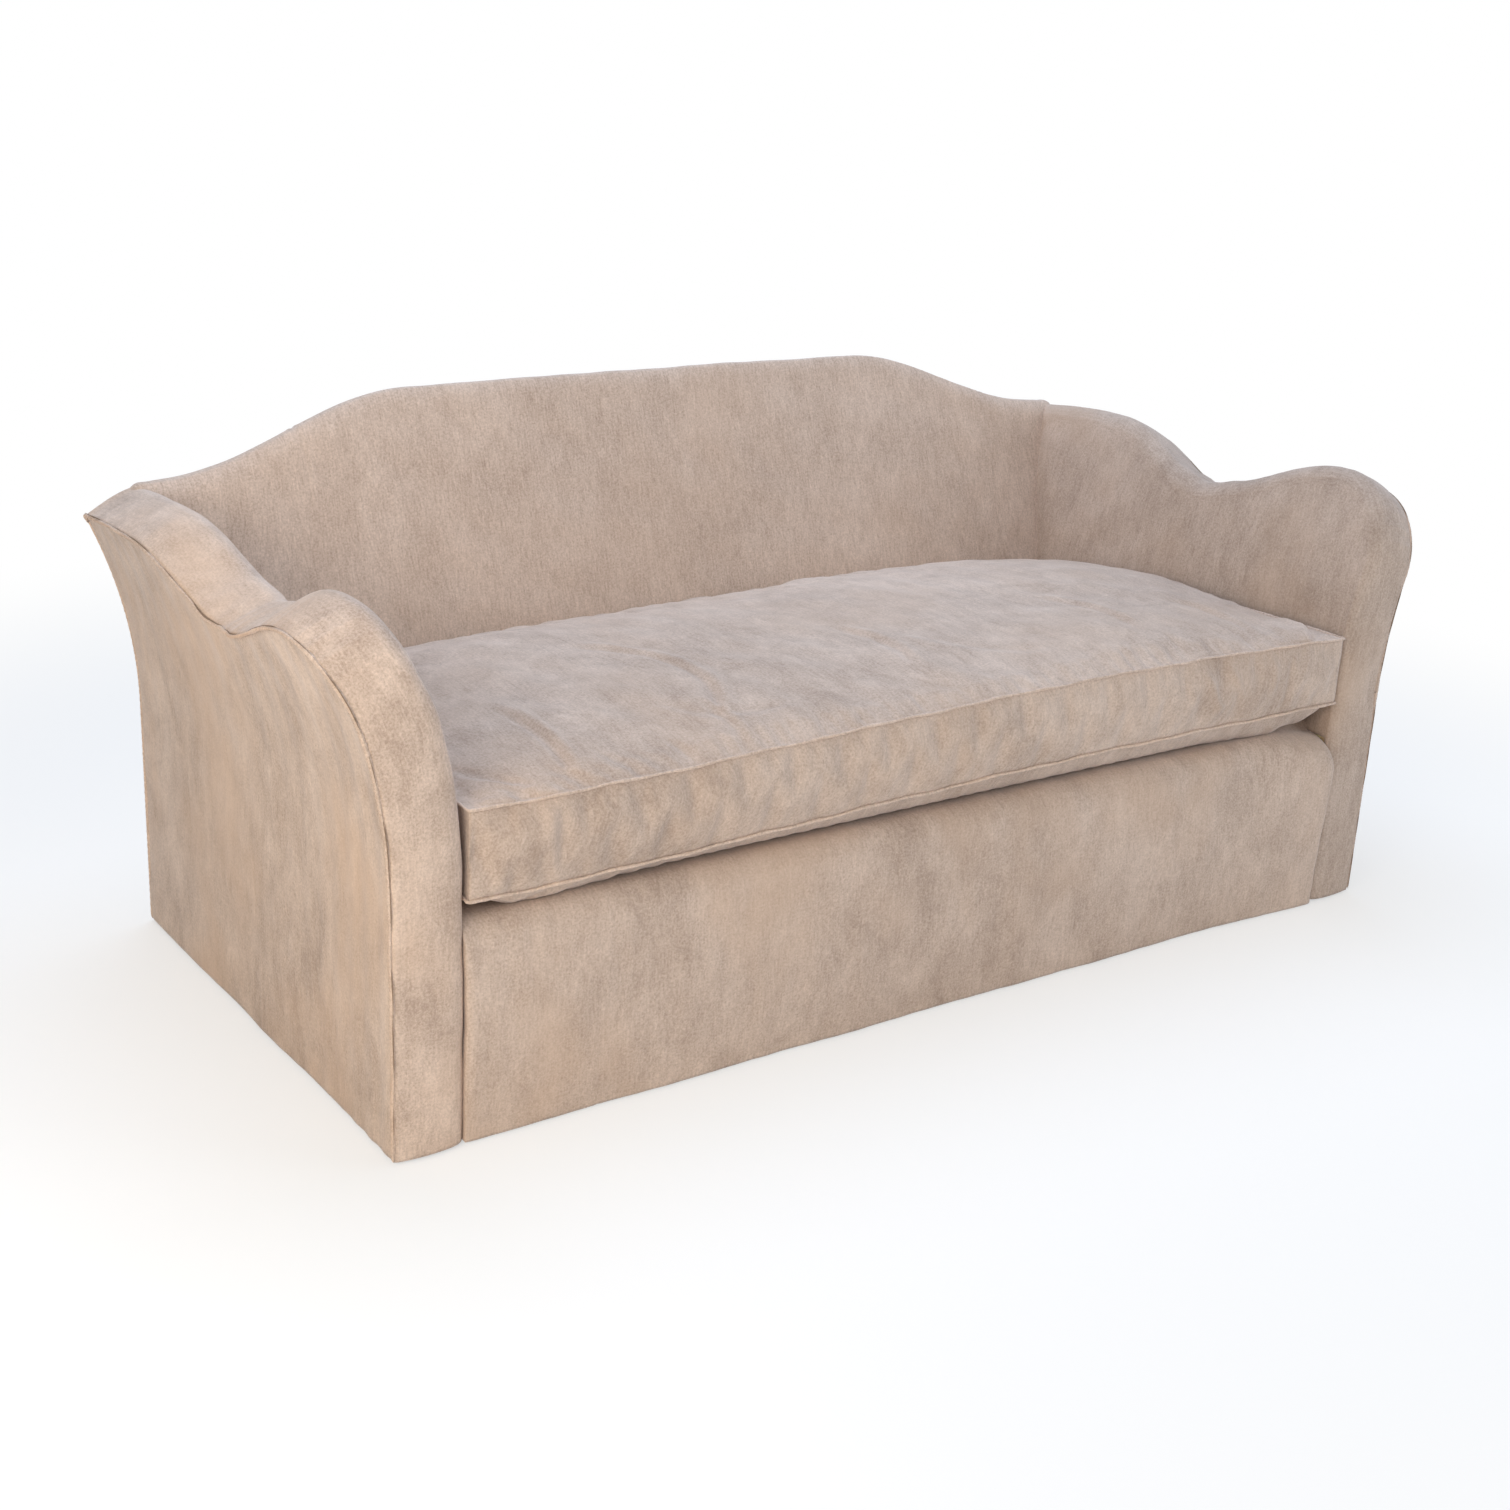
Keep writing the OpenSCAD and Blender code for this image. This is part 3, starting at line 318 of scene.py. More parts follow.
def slabPiece(name, outer, inner, outward):
    # a closed slab: the outer grid, the inner grid turned round, and a strip round their four edges
    count = outer.shape[0] * outer.shape[1]
    faces = facing(outer, outward)
    ring = ringOf(np.arange(count).reshape(outer.shape[:2] + (1,)))[:, 0]
    after = np.roll(ring, -1)
    edge = np.stack([after, ring, ring + count, after + count], axis=-1)
    if not np.array_equal(faces, gridQuads(outer.shape[0], outer.shape[1])):
        edge = edge[:, ::-1]
    flat = np.concatenate([outer.reshape(-1, 3), inner.reshape(-1, 3)])
    uv = np.concatenate([clothUv(outer).reshape(-1, 2), clothUv(inner).reshape(-1, 2)])
    return makeMesh(name, flat, np.concatenate([faces, faces[:, ::-1] + count, edge]), uv)


tube = {"point": 0.15, "girthUv": 0.003}  # how thin the open ends are, and the cloth's width round the tube


def tubePiece(name, path, outs, ups, radius, sides=8, closed=False):
    # a round section carried along the path: path + radius (outs cos a + ups sin a), open ends drawn to a point
    a = np.arange(sides) * 2 * np.pi / sides
    radius = np.array(np.broadcast_to(radius, (len(path),)), float)
    if not closed:
        radius[[0, -1]] *= tube["point"]
    rings = path[:, None] + radius[:, None, None] * (
        outs[:, None] * np.cos(a)[None, :, None] + ups[:, None] * np.sin(a)[None, :, None])
    quads = gridQuads(len(path), sides, roundCols=True, roundRows=closed)
    uv = np.stack(np.broadcast_arrays(lengthOf(path)[:, None], a[None] * tube["girthUv"]), axis=-1)
    return makeMesh(name, rings, wound(quads, rings[0, 0], rings[1, 0], rings[0, 1], rings[0, 0] - path[0]), uv)


def threadsPiece(name, centres, faces, acrosses, thick, sides):
    # many short threads in one mesh, a ring round each centre: centre + thick (face cos a + across sin a)
    a = np.arange(sides) * 2 * np.pi / sides
    count, steps = centres.shape[:2]
    rings = centres[:, :, None] + thick[None, :, None, None] * (
        faces[:, None, None] * np.cos(a)[None, None, :, None]
        + acrosses[:, None, None] * np.sin(a)[None, None, :, None])
    one = wound(gridQuads(steps, sides, roundCols=True), rings[0, 0, 0], rings[0, 1, 0], rings[0, 0, 1],
                rings[0, 0, 0] - centres[0, 0])
    quads = one[None] + (np.arange(count) * steps * sides)[:, None, None]
    return makeMesh(name, rings, quads, np.zeros((rings.size // 3, 2)))


def placed(points, side=1):
    # from the arm fronts to the part's own origin; side -1 gives the mirror image
    return points * np.array([side, 1, 1]) + np.array([0, sofa["frontY"], 0])


class Wire:
    # one output in a node tree; arithmetic on it adds Math nodes
    def __init__(self, nodes, socket):
        self.nodes, self.socket = nodes, socket

    def math(self, kind, first, second):
        return self.nodes.add("Math", {"operation": kind}, {0: first, 1: second})

    def __add__(self, other):
        return self.math("ADD", self, other)

    def __radd__(self, other):
        return self.math("ADD", other, self)

    def __sub__(self, other):
        return self.math("SUBTRACT", self, other)

    def __rsub__(self, other):
        return self.math("SUBTRACT", other, self)

    def __mul__(self, other):
        return self.math("MULTIPLY", self, other)

    def __rmul__(self, other):
        return self.math("MULTIPLY", other, self)


class Nodes:
    # the node tree of a material or of the world; add() makes every node in it
    def __init__(self, owner):
        owner.use_nodes = True
        self.owner, self.tree = owner, owner.node_tree
        self.tree.nodes.clear()

    def add(self, kind, settings, values, output=0):
        node = self.tree.nodes.new("ShaderNode" + kind)
        for key, value in settings.items():
            setattr(node, key, value)
        for key, value in values.items():
            if isinstance(value, Wire):
                self.tree.links.new(value.socket, node.inputs[key])
            else:
                node.inputs[key].default_value = value
        return Wire(self, node.outputs[output]) if node.outputs else node

    def objectPlace(self):
        return self.add("TexCoord", {}, {}, "Object")

    def stretched(self, source, scale, shift=(0, 0, 0), turn=(0, 0, 0)):
        return self.add("Mapping", {}, {"Vector": source, "Rotation": turn, "Scale": scale, "Location": shift})

    def noise(self, source, scale, detail=2.0, rough=0.5, bent=0.0):
        return self.add("TexNoise", {}, {"Vector": source, "Scale": scale, "Detail": detail,
                                         "Roughness": rough, "Distortion": bent}, "Fac")

    def between(self, source, low, high):
        return self.add("MapRange", {"interpolation_type": "SMOOTHSTEP"},
                        {"Value": source, "From Min": low, "From Max": high}, "Result")

    def mix(self, share, first, second, kind="MIX"):
        return self.add("Mix", {"data_type": "RGBA", "blend_type": kind}, {0: share, 6: first, 7: second}, 2)

    def bump(self, height, strength, distance):
        return self.add("Bump", {}, {"Height": height, "Strength": strength, "Distance": distance}, "Normal")

    def surface(self, values):
        shader = self.add("BsdfPrincipled", {}, values)
        self.add("OutputMaterial", {}, {"Surface": shader})
        return self.owner


def colour(r, g, b):
    # a colour as seen on screen, 0 to 255, turned into the linear value that a shader takes
    return tuple(((c / 255 + 0.055) / 1.055) ** 2.4 if c > 10 else c / 255 / 12.92 for c in (r, g, b)) + (1.0,)


velvetLook = {
    "dark": (162, 141, 125), "light": (213, 192, 175), "warm": (203, 174, 149),
    "sheen": 0.26, "sheenRough": 0.40, "sheenTint": (0.90, 0.90, 0.94, 1), "specular": 0.2,
    "rough": 0.90, "roughMarks": 0.15,
    "cloud": 1.10, "marks": 1.45, "streaks": 0.40, "slubs": 0.60, "grain": 1.70,  # their shares in the tone
    "cloudTall": (0.4, 0.6), "markTurn": (0.1, 0.15, 0.3), "streakScale": (60, 16, 1), "slubScale": (330, 40, 1),
    "seedShift": (1.7, 0.9, 2.3), "hueScale": (1, 1, 0.7), "hueShift": (3.1, 4, 1), "hueFrom": 0.46, "hueTo": 0.70,
    "cloudNoise": (3.4, 3.0, 0.55, 0.3), "markNoise": (17.0, 5.0, 0.66, 0.5),  # scale, detail, roughness, bend
    "streakNoise": (1.0, 3.0, 0.6, 0.3), "slubNoise": (1.0, 2.0, 0.6), "grainNoise": (300.0, 3.0, 0.75),
    "hueNoise": (4.5, 3.0),
    "pileGrain": 0.7, "pileSlubs": 0.5, "pileStreaks": 1.2, "pileMarks": 2.0, "pile": (0.5, 0.0016),
}


def velvetFinish(name, seed, shade=1.0, patchy=1.0, ribs=1.0, tall=0.5, warmth=0.40):
    # tone = a half + broad clouds + brushed marks, drawn out upwards + streaks and slubs down the warp + a speckle
    nodes, look = Nodes(bpy.data.materials.new(name)), velvetLook
    uv = nodes.add("UVMap", {"uv_map": "cloth"}, {}, "UV")
    place = nodes.objectPlace()
    shift = tuple(seed * step for step in look["seedShift"])
    least, more = look["cloudTall"]
    cloud = nodes.noise(nodes.stretched(place, (1, 1, least + more * tall), shift), *look["cloudNoise"])
    marks = nodes.noise(nodes.stretched(place, (1, 1, tall), shift, look["markTurn"]), *look["markNoise"])
    streaks = nodes.noise(nodes.stretched(uv, look["streakScale"], shift), *look["streakNoise"])
    slubs = nodes.noise(nodes.stretched(uv, look["slubScale"], shift), *look["slubNoise"])
    grain = nodes.noise(nodes.stretched(place, (1, 1, 1), shift), *look["grainNoise"])
    tone = (0.5 + (cloud - 0.5) * (look["cloud"] * patchy) + (marks - 0.5) * (look["marks"] * patchy)
            + (streaks - 0.5) * look["streaks"] + (slubs - 0.5) * (look["slubs"] * ribs)
            + (grain - 0.5) * look["grain"])
    # shade scales every colour: above 1 on a piece it paints light, below 1 it paints shade
    dark, light, warm = (colour(*(min(255, c * shade) for c in look[k])) for k in ("dark", "light", "warm"))
    base = nodes.mix(nodes.add("Clamp", {}, {0: tone}), dark, light)
    sideways, rearwards, upwards = look["hueShift"]
    huePlace = nodes.stretched(place, look["hueScale"], (seed * sideways, rearwards, upwards))
    hue = nodes.noise(huePlace, *look["hueNoise"])
    base = nodes.mix(nodes.between(hue, look["hueFrom"], look["hueTo"]) * warmth, base, warm)
    pile = (grain * look["pileGrain"] + slubs * look["pileSlubs"] + streaks * look["pileStreaks"]
            + marks * look["pileMarks"])
    return nodes.surface({"Base Color": base, "Roughness": look["rough"] - (marks - 0.5) * look["roughMarks"],
                          "Normal": nodes.bump(pile, *look["pile"]), "Sheen Weight": look["sheen"],
                          "Sheen Roughness": look["sheenRough"], "Sheen Tint": look["sheenTint"],
                          "Specular IOR Level": look["specular"]})


plainLook = {
    "fleckTurn": (0.3, 0.5, 0.1), "fleckScale": 6, "fleckNoise": (3.0, 0.6), "fleckShare": 0.3, "fleckRough": 0.2,
    "grainNoise": (5.0, 0.6, 0.4), "grainShare": 0.7, "weaveScale": 2.2, "weaveBend": 1.2,
    "from": 0.3, "to": 0.7, "bump": 0.5,
}


def plainFinish(name, first, second, scale, rough=0.7, metal=0.0, depth=0.0006, stretch=(1, 1, 1), weave=False):
    # two tones mixed by a grain stretched along one axis, or by the crossed waves of a weave
    nodes, look = Nodes(bpy.data.materials.new(name)), plainLook
    place = nodes.objectPlace()
    flecks = nodes.noise(nodes.stretched(place, stretch, (0, 0, 0), look["fleckTurn"]),
                         scale * look["fleckScale"], *look["fleckNoise"])
    if weave:
        across, along = (nodes.add("TexWave", {"bands_direction": way},
                                   {"Vector": place, "Scale": scale * look["weaveScale"],
                                    "Distortion": look["weaveBend"]}, "Fac") for way in "XY")
        grain = across * 0.5 + along * 0.5
    else:
        grain = nodes.noise(nodes.stretched(place, stretch), scale, *look["grainNoise"])
    tone = grain * look["grainShare"] + flecks * look["fleckShare"]
    base = nodes.mix(nodes.between(tone, look["from"], look["to"]), colour(*first), colour(*second))
    return nodes.surface({"Base Color": base, "Roughness": rough + (flecks - 0.5) * look["fleckRough"],
                          "Metallic": metal, "Normal": nodes.bump(tone, look["bump"], depth)})


velvets = {  # what sets each velvet apart, its seed first; on some pieces the shade and the warmth paint light and shade
    "velvetArms": dict(seed=1.0, shade=0.985, patchy=1.0, tall=0.55, warmth=0.50),
    # the left arm's strip and inside arm get a lighter copy of the velvet (painted light), the right arm's a darker one
    # (painted shade)
    "velvetBandLeftPaintedLight": dict(seed=2.0, shade=1.05, tall=0.8),
    "velvetBandRightPaintedShade": dict(seed=2.0, shade=0.97, patchy=0.7, tall=0.6),
    # the backs are painted lighter and cooler: a raised shade and few warm patches stand in for cool light from above
    "velvetBackPaintedCoolLight": dict(seed=3.0, shade=1.045, patchy=0.45, ribs=1.4, tall=0.4, warmth=0.12),
    "velvetFront": dict(seed=4.0, patchy=0.75, tall=0.7),
    # fewer warm patches make the cushion cooler: painted cool light from above on its top
    "velvetCushionPaintedCoolLight": dict(seed=5.0, patchy=0.8, tall=0.9, warmth=0.20),
    # a shade of 1.07 paints a highlight on every seam ridge and stitch, lighter than the cloth round them
    "velvetSeamPaintedHighlight": dict(seed=6.0, shade=1.07, patchy=0.4),
}
plains = {  # two colours and the grain's scale, then roughness, metal, depth and stretch where they matter
    "deckCloth": dict(first=(150, 128, 108), second=(178, 156, 134), scale=260, rough=0.9, weave=True),
    "dustCloth": dict(first=(22, 22, 23), second=(38, 38, 39), scale=420, rough=0.95, weave=True),
    "zipTape": dict(first=(140, 118, 98), second=(166, 144, 122), scale=420, rough=0.9, weave=True),
    "zipMetal": dict(first=(176, 148, 92), second=(206, 180, 122), scale=300, rough=0.32, metal=1.0, depth=0.0002),
    # dark brown, for the thin tube that paints the shadow line in the arm seams' groove
    "seamShadowThread": dict(first=(112, 90, 72), second=(144, 120, 98), scale=500, rough=0.8, depth=0.0002),
    "ticking": dict(first=(226, 220, 208), second=(240, 236, 226), scale=320, rough=0.9, weave=True),
    "foam": dict(first=(214, 200, 150), second=(232, 220, 176), scale=340, rough=0.95),
    "wadding": dict(first=(226, 226, 222), second=(242, 242, 240), scale=90, rough=0.98),
    "backingBoard": dict(first=(150, 124, 92), second=(176, 150, 116), scale=120, rough=0.85),
    "webbing": dict(first=(84, 74, 62), second=(118, 104, 86), scale=300, rough=0.92, weave=True),
    "hessian": dict(first=(150, 126, 90), second=(182, 158, 118), scale=160, rough=0.95, weave=True),
    "springSteel": dict(first=(120, 122, 126), second=(160, 162, 166), scale=200, rough=0.38, metal=1.0, depth=0.0002),
    "plywood": dict(first=(196, 166, 124), second=(218, 192, 152), scale=24, rough=0.6, depth=0.0004,
                    stretch=(0.15, 1, 1)),
    "glidePlastic": dict(first=(196, 196, 190), second=(214, 214, 208), scale=260, rough=0.42, depth=0.0001),
    "timber": dict(first=(166, 126, 84), second=(200, 162, 116), scale=34, rough=0.62, depth=0.0005,
                   stretch=(0.12, 1, 1)),
}
finishes = {name: velvetFinish(name, **change) for name, change in velvets.items()}
finishes.update({name: plainFinish(name, **change) for name, change in plains.items()})
slotFinish = {
    "velvet": "velvetArms", "velvet_cushion": "velvetCushionPaintedCoolLight", "velvet_seam": "velvetSeamPaintedHighlight", "deck_cloth": "deckCloth",
    "dust_cloth": "dustCloth", "zip_tape": "zipTape", "zip_metal": "zipMetal", "feather_fill": "ticking",
    "foam": "foam", "wadding": "wadding", "backing_board": "backingBoard", "webbing": "webbing", "hessian": "hessian",
    "spring_steel": "springSteel", "plywood": "plywood", "glide_plastic": "glidePlastic", "timber": "timber",
}
for part in frame["record"]["subparts"]:
    node = frame["nodes"][part["node"]]
    node.data.materials.clear()
    node.data.materials.append(finishes[slotFinish[part["material_slot"]]])
print("finishes made:", len(finishes))


def dress(piece, finish, slot, body, *nodes):
    # gives a new piece its finish and its body, and hides the CAD nodes that it stands for; slot is not used
    piece.data.materials.append(finishes[finish])
    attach(piece, body)
    if nodes:
        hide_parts(*nodes)
    return piece


band = {  # the strip up an arm's front and along its top
    "upRows": 110, "noseRows": 56, "topRows": 200, "fine": 0.006, "fineCols": 5, "flatCols": 20, "turnCols": 13,
    "crown": 0.0046, "crownPower": 0.8, "seamTuck": 0.0020, "seamReach": 0.0045, "overlap": 0.008,
    "rearAt": 0.05, "rearRound": 0.016, "frontLean": 0.05,
    "pucker": 0.0026, "puckerReach": 0.060, "puckerLean": 5, "puckerPower": 2.5, "gather": (0.027, 1.9, 17),
    "puckerStart": 0.004, "puckerStop": 0.03, "away": 0.22, "noseAt": 0.78, "noseLong": 0.24,
    "uneven": 0.55, "unevenRate": 41,
}
dipFolds = {  # the folds that meet in the dip
    "waves": ((0.0012, 11, 0.16, 0.42), (0.0005, 12, 0.05, 0.12)),
    "swell": 0.0042, "swellAway": 0.050, "swellWide": 0.032, "swellDown": 0.050, "swellLean": 0.10,
    "down": 0.030, "through": 0.060, "atSeam": 0.25, "seamReach": 0.016,
    "ridges": (  # shift, slant along the strip's width, half width, height
        (-0.040, 0.30, 0.0092, 0.0030), (-0.014, 0.10, 0.0080, 0.0038), (0.014, -0.16, 0.0082, 0.0034),
        (0.040, -0.34, 0.0098, 0.0024)),
    "fanThrough": 10, "fanDown": 6, "slant": 0.2, "widen": 6, "hollow": 0.0016, "hollowWide": 0.05,
}


def stripOutline(inset, drop):
    # the strip's line in the arm's own plane, as (y, s): up the front, round the nose, along both humps
    up = np.linspace(0, 1, band["upRows"], endpoint=False)[:, None]
    nose = np.linspace(0, 1, band["noseRows"], endpoint=False)[:, None]
    along = np.linspace(0, 1, band["topRows"])[:, None]
    base, corner = sofa["frontHump"] - sofa["noseRadius"], sofa["noseRadius"]
    noseInset = inset + drop * (sofa["frontSoft"] + (1 - sofa["frontSoft"]) * nose)
    rearEnd = float(outY(armZ(sofa["tail"], band["rearAt"]))) - sofa["rearShort"]
    y = corner + along * (rearEnd - corner)
    over = np.clip((y - rearEnd + band["rearRound"]) / band["rearRound"], 0, 1)
    rear = band["rearRound"] * (1 - np.sqrt(np.maximum(0, 1 - over ** 2)))
    ys = [inset + drop * sofa["frontSoft"] + 0 * up,
          corner - (corner - noseInset) * np.cos(np.pi / 2 * nose), y + 0 * inset]
    ss = [sofa["hem"] + up * (base - sofa["hem"]) + 0 * inset,
          base + (corner - noseInset) * np.sin(np.pi / 2 * nose), armLine(y) - inset - drop - rear]
    width = np.broadcast(inset, drop).shape[1]
    return (np.concatenate([np.broadcast_to(v, (len(v), width)) for v in ys]),
            np.concatenate([np.broadcast_to(v, (len(v), width)) for v in ss]))


def stripSection():
    # across the strip: n through the arm and the drop at its soft inner edge, then a little way down the inner face
    thick, edge, fine = sofa["armThick"], sofa["softEdge"], band["fine"]
    flat = np.concatenate([np.linspace(0, fine, band["fineCols"])[:-1],
                           np.linspace(fine, thick - edge, band["flatCols"])[:-1]])
    turn = np.linspace(0, np.pi / 2, band["turnCols"])
    n = np.concatenate([flat, thick - edge * (1 - np.sin(turn)), [thick] * 2])
    drop = np.concatenate([0 * flat, edge * (1 - np.cos(turn)), edge + band["overlap"] * np.array([0.5, 1])])
    return n[None, :], drop[None, :]


def armWaves(points, y, s, n):
    # how far the arm's covers stand out: slow waves, a swell beside the dip and folds that fan out from it
    folds, dipY = dipFolds, sofa["dipY"]
    below = np.clip(armLine(np.maximum(y, sofa["noseRadius"])) - s, 0, 1)
    gap = np.abs(y - dipY + folds["swellLean"] * n) - folds["swellAway"]
    wave = (rippled(points, *folds["waves"])
            + folds["swell"] * np.exp(-below / folds["swellDown"]) * bell(gap, folds["swellWide"]))
    offSeam = folds["atSeam"] + (1 - folds["atSeam"]) * np.clip(n / folds["seamReach"], 0, 1)
    near = np.exp(-below / folds["down"]) * np.exp(-n / folds["through"]) * offSeam
    for shift, slant, wide, tall in folds["ridges"]:
        centre = dipY + shift * (1 + folds["fanThrough"] * n + folds["fanDown"] * below) + slant * folds["slant"] * n
        wave = wave + tall * near * bell(y - centre, wide * (1 + folds["widen"] * n))
    return wave - folds["hollow"] * near * bell(y - dipY, folds["hollowWide"])


def stripPoints(side):
    # the strip's points, domed across, tucked at the sewn edge and puckered round the nose
    n, drop = stripSection()
    tuck = band["seamTuck"] * np.clip(1 - n / band["seamReach"], 0, 1) ** 2
    crown = band["crown"] * np.sin(np.pi * np.clip(n / sofa["armThick"], 0, 1)) ** band["crownPower"]
    y, s = stripOutline(tuck - crown, drop)
    n = np.broadcast_to(n, y.shape)
    flat = stitched(armX(s, n), y, armZ(s, n))
    outward = stitched(0 * y, -np.exp(-y / band["frontLean"]), 1 + 0 * y)
    length = lengthOf(flat[:, 0])[:, None]
    beat = (1 + gathered(length, band["gather"], side, band["puckerLean"] * n)) / 2
    turning = band["away"] + (1 - band["away"]) * bell(length - band["noseAt"], band["noseLong"])
    uneven = band["uneven"] + (1 - band["uneven"]) * np.sin(length * band["unevenRate"] + 2 * side)
    pucker = (band["pucker"] * turning * uneven * beat ** band["puckerPower"]
              * besideEdge(n, band["puckerReach"], band["puckerStart"])
              * np.clip((sofa["armThick"] - n) / band["puckerStop"], 0, 1))
    points = placed(flat, side)
    return pushed(points, outward, armWaves(points, y, s, n) + pucker), y, s, outward


inside = {  # the inside arm: how far it goes on behind the back's cover, and its tuck in the corner there
    "low": 0.296, "seat": 0.53, "seatWave": 0.0009, "cornerTuck": 0.0020, "cornerReach": 0.012,
    "lastTop": 0.004, "past": 0.01, "look": 0.2,
}


def makeArmCover(side, label):
    # the strip and the inside arm in one sheet: the inside arm hangs from the strip's inner edge
    strip, y, s, outward = stripPoints(side)
    upRows, thick, dipY = band["upRows"], sofa["armThick"], sofa["dipY"]
    first = int(np.argmax(s[:upRows, -1] > inside["low"]))
    yTop, sTop = y[upRows:, -1], s[upRows:, -1]
    keep = int(np.sum(yTop < float(inY(armZ(sofa["tail"], thick))) + inside["lastTop"]))
    yTop, sTop = yTop[:keep], sTop[:keep]
    share = np.linspace(0, 1, upRows - first + 1)[:, None]
    low = s[first, -1]
    sIn = low + share * (sTop[None] - low)
    zIn, zTop = armZ(sIn, thick), armZ(sTop, thick)[None]
    lean = (inY(zIn) + inside["past"] - dipY) / (inY(zTop) + inside["past"] - dipY)
    yIn = np.where(yTop[None] > dipY, dipY + (yTop[None] - dipY) * lean, yTop[None] + 0 * sIn)
    n = np.full_like(sIn, thick)
    points = placed(stitched(armX(sIn, n), yIn, zIn), side)
    wave = armWaves(points, yIn, sIn, n)
    wave = np.where(zIn < inside["seat"], np.clip(wave, -1, inside["seatWave"]), wave)
    wave = wave - inside["cornerTuck"] * np.exp(-np.maximum(0, inY(zIn) - yIn) / inside["cornerReach"])
    inward = np.array([-side, 0, inside["look"]])
    points = pushed(points, inward, wave)
    points[-1] = strip[upRows:upRows + keep, -1]
    points[:, 0] = strip[first:upRows + 1, -1]
    piece = clothPiece(f"{label}_arm_cover", [(strip, outward, None), (points, inward, None)], sofa["cloth"])
    # a lighter copy on the left arm paints light, a darker copy on the right arm paints shade
    finish = "velvetBandLeftPaintedLight" if side < 0 else "velvetBandRightPaintedShade"
    return dress(piece, finish, "velvet", "frame", f"{label}_arm_border", f"{label}_inside_arm")


outside = {
    "rows": 118, "edgeTuck": 0.0021, "edgeReach": 0.0035, "rearReach": 0.004,
    "hang": 0.0011, "hangReach": 0.20, "hangStart": 0.02, "hangLean": 3, "gather": (0.052, 2, 9),
}


def makeOutsideArm(side, label):
    # columns hang from the strip's outer edge to the hem; the last ones follow the back's curve
    y, s = stripOutline(np.zeros((1, 1)), np.zeros((1, 1)))
    yTop, sTop = y[band["upRows"]:, 0], s[band["upRows"]:, 0]
    corner, base = sofa["noseRadius"], sofa["frontHump"] - sofa["noseRadius"]
    s = sofa["hem"] + np.linspace(0, 1, outside["rows"])[:, None] * (sTop[None] - sofa["hem"])
    z = armZ(s, 0)
    last = (yTop[None] - corner) / (yTop[-1] - corner)
    y = np.where(last > 0, corner + last * (outY(z) - sofa["rearShort"] - corner), yTop[None] + 0 * s)
    points = placed(stitched(armX(s, 0 * s), y, z), side)
    radial = corner - np.hypot(corner - y, np.maximum(0, s - base))
    below = np.maximum(armLine(np.maximum(y, corner)) - s, 0)
    edge = np.where(y < corner, radial, np.minimum(y, below))
    tuck = outside["edgeTuck"] * (np.exp(-edge / outside["edgeReach"])
                                  + np.exp(-(outY(z) - y) / outside["rearReach"]))
    hang = (outside["hang"] * besideEdge(edge, outside["hangReach"], outside["hangStart"])
            * gathered(y, outside["gather"], side, outside["hangLean"] * z))
    outward = np.array([side, 0, 0])
    points = pushed(points, outward, armWaves(points, y, s, 0 * s) + hang - tuck)
    piece = clothPiece(f"{label}_outside_arm_cover", [(points, outward, None)], sofa["cloth"])
    return dress(piece, "velvetArms", "velvet", "frame", f"{label}_outside_arm")


edgeSeam = {
    "radius": 0.0027, "inset": 0.0010, "stand": 0.0006, "lift": 0.0004, "liftShare": 0.6,
    "beats": ((0.12, 2 * np.pi / 0.0125), (0.12, 91), (0.1, 37)),
    # a dark thin tube along the seam's groove paints its shadow line
    "shadowThread": 0.0008, "shadowThreadSides": 6, "shadowThreadAway": 0.0004, "shadowThreadOut": 0.0002,
    "shadowThreadShare": (0.55, 1.2, 0.12), "shadowThreadRates": (19, 47),
}
stitch = {
    "pitch": 0.0042, "long": 0.0056, "thick": 0.00048, "ends": 0.01, "uneven": 0.0005, "lean": (0.35, 0.6),
    "steps": 5, "sunk": 0.0007, "arch": 0.0011, "thinnest": 0.12, "seed": 31,
}


def seamLine(side):
    # the sewn edge between the strip and the outside arm, with its directions along, out and up
    y, s = stripOutline(np.full((1, 1), edgeSeam["inset"]), np.zeros((1, 1)))
    points = placed(stitched(armX(s, 0 * s), y, armZ(s, 0 * s)), side)
    waves = armWaves(points, y, s, 0 * s)
    points = points[:, 0]
    along, out = framed(points, np.array([side, 0.0, 0.0]))
    up = np.cross(along, out) * side
    lift = edgeSeam["liftShare"] * waves + edgeSeam["lift"]
    return points + out * (waves + edgeSeam["stand"]) + up * lift, along, out, up


def makeArmSeam(side, label):
    # a ridge that swells with each stitch, and a dark thin tube under it here and there that paints the seam's shadow
    # line
    path, along, out, up = seamLine(side)
    length = lengthOf(path)
    radius = edgeSeam["radius"] * beating(length, edgeSeam["beats"])
    piece = tubePiece(f"{label}_arm_edge_seam", path, out, up, radius)
    dress(piece, "velvetSeamPaintedHighlight", "velvet_seam", "frame", f"{label}_arm_welt")
    # the dark tube sits in the groove below the ridge as a painted shadow line
    away = edgeSeam["radius"] + edgeSeam["shadowThreadAway"]
    middle, swing, least = edgeSeam["shadowThreadShare"]
    slow, quick = edgeSeam["shadowThreadRates"]
    shown = np.clip(middle + swing * np.sin(length * slow + side) * np.sin(length * quick), least, 1)
    path = path - up * away + out * edgeSeam["shadowThreadOut"]
    piece = tubePiece(f"{label}_arm_seam_shadow_thread", path, out, up, edgeSeam["shadowThread"] * shown, edgeSeam["shadowThreadSides"])
    dress(piece, "seamShadowThread", "velvet_seam", "frame")


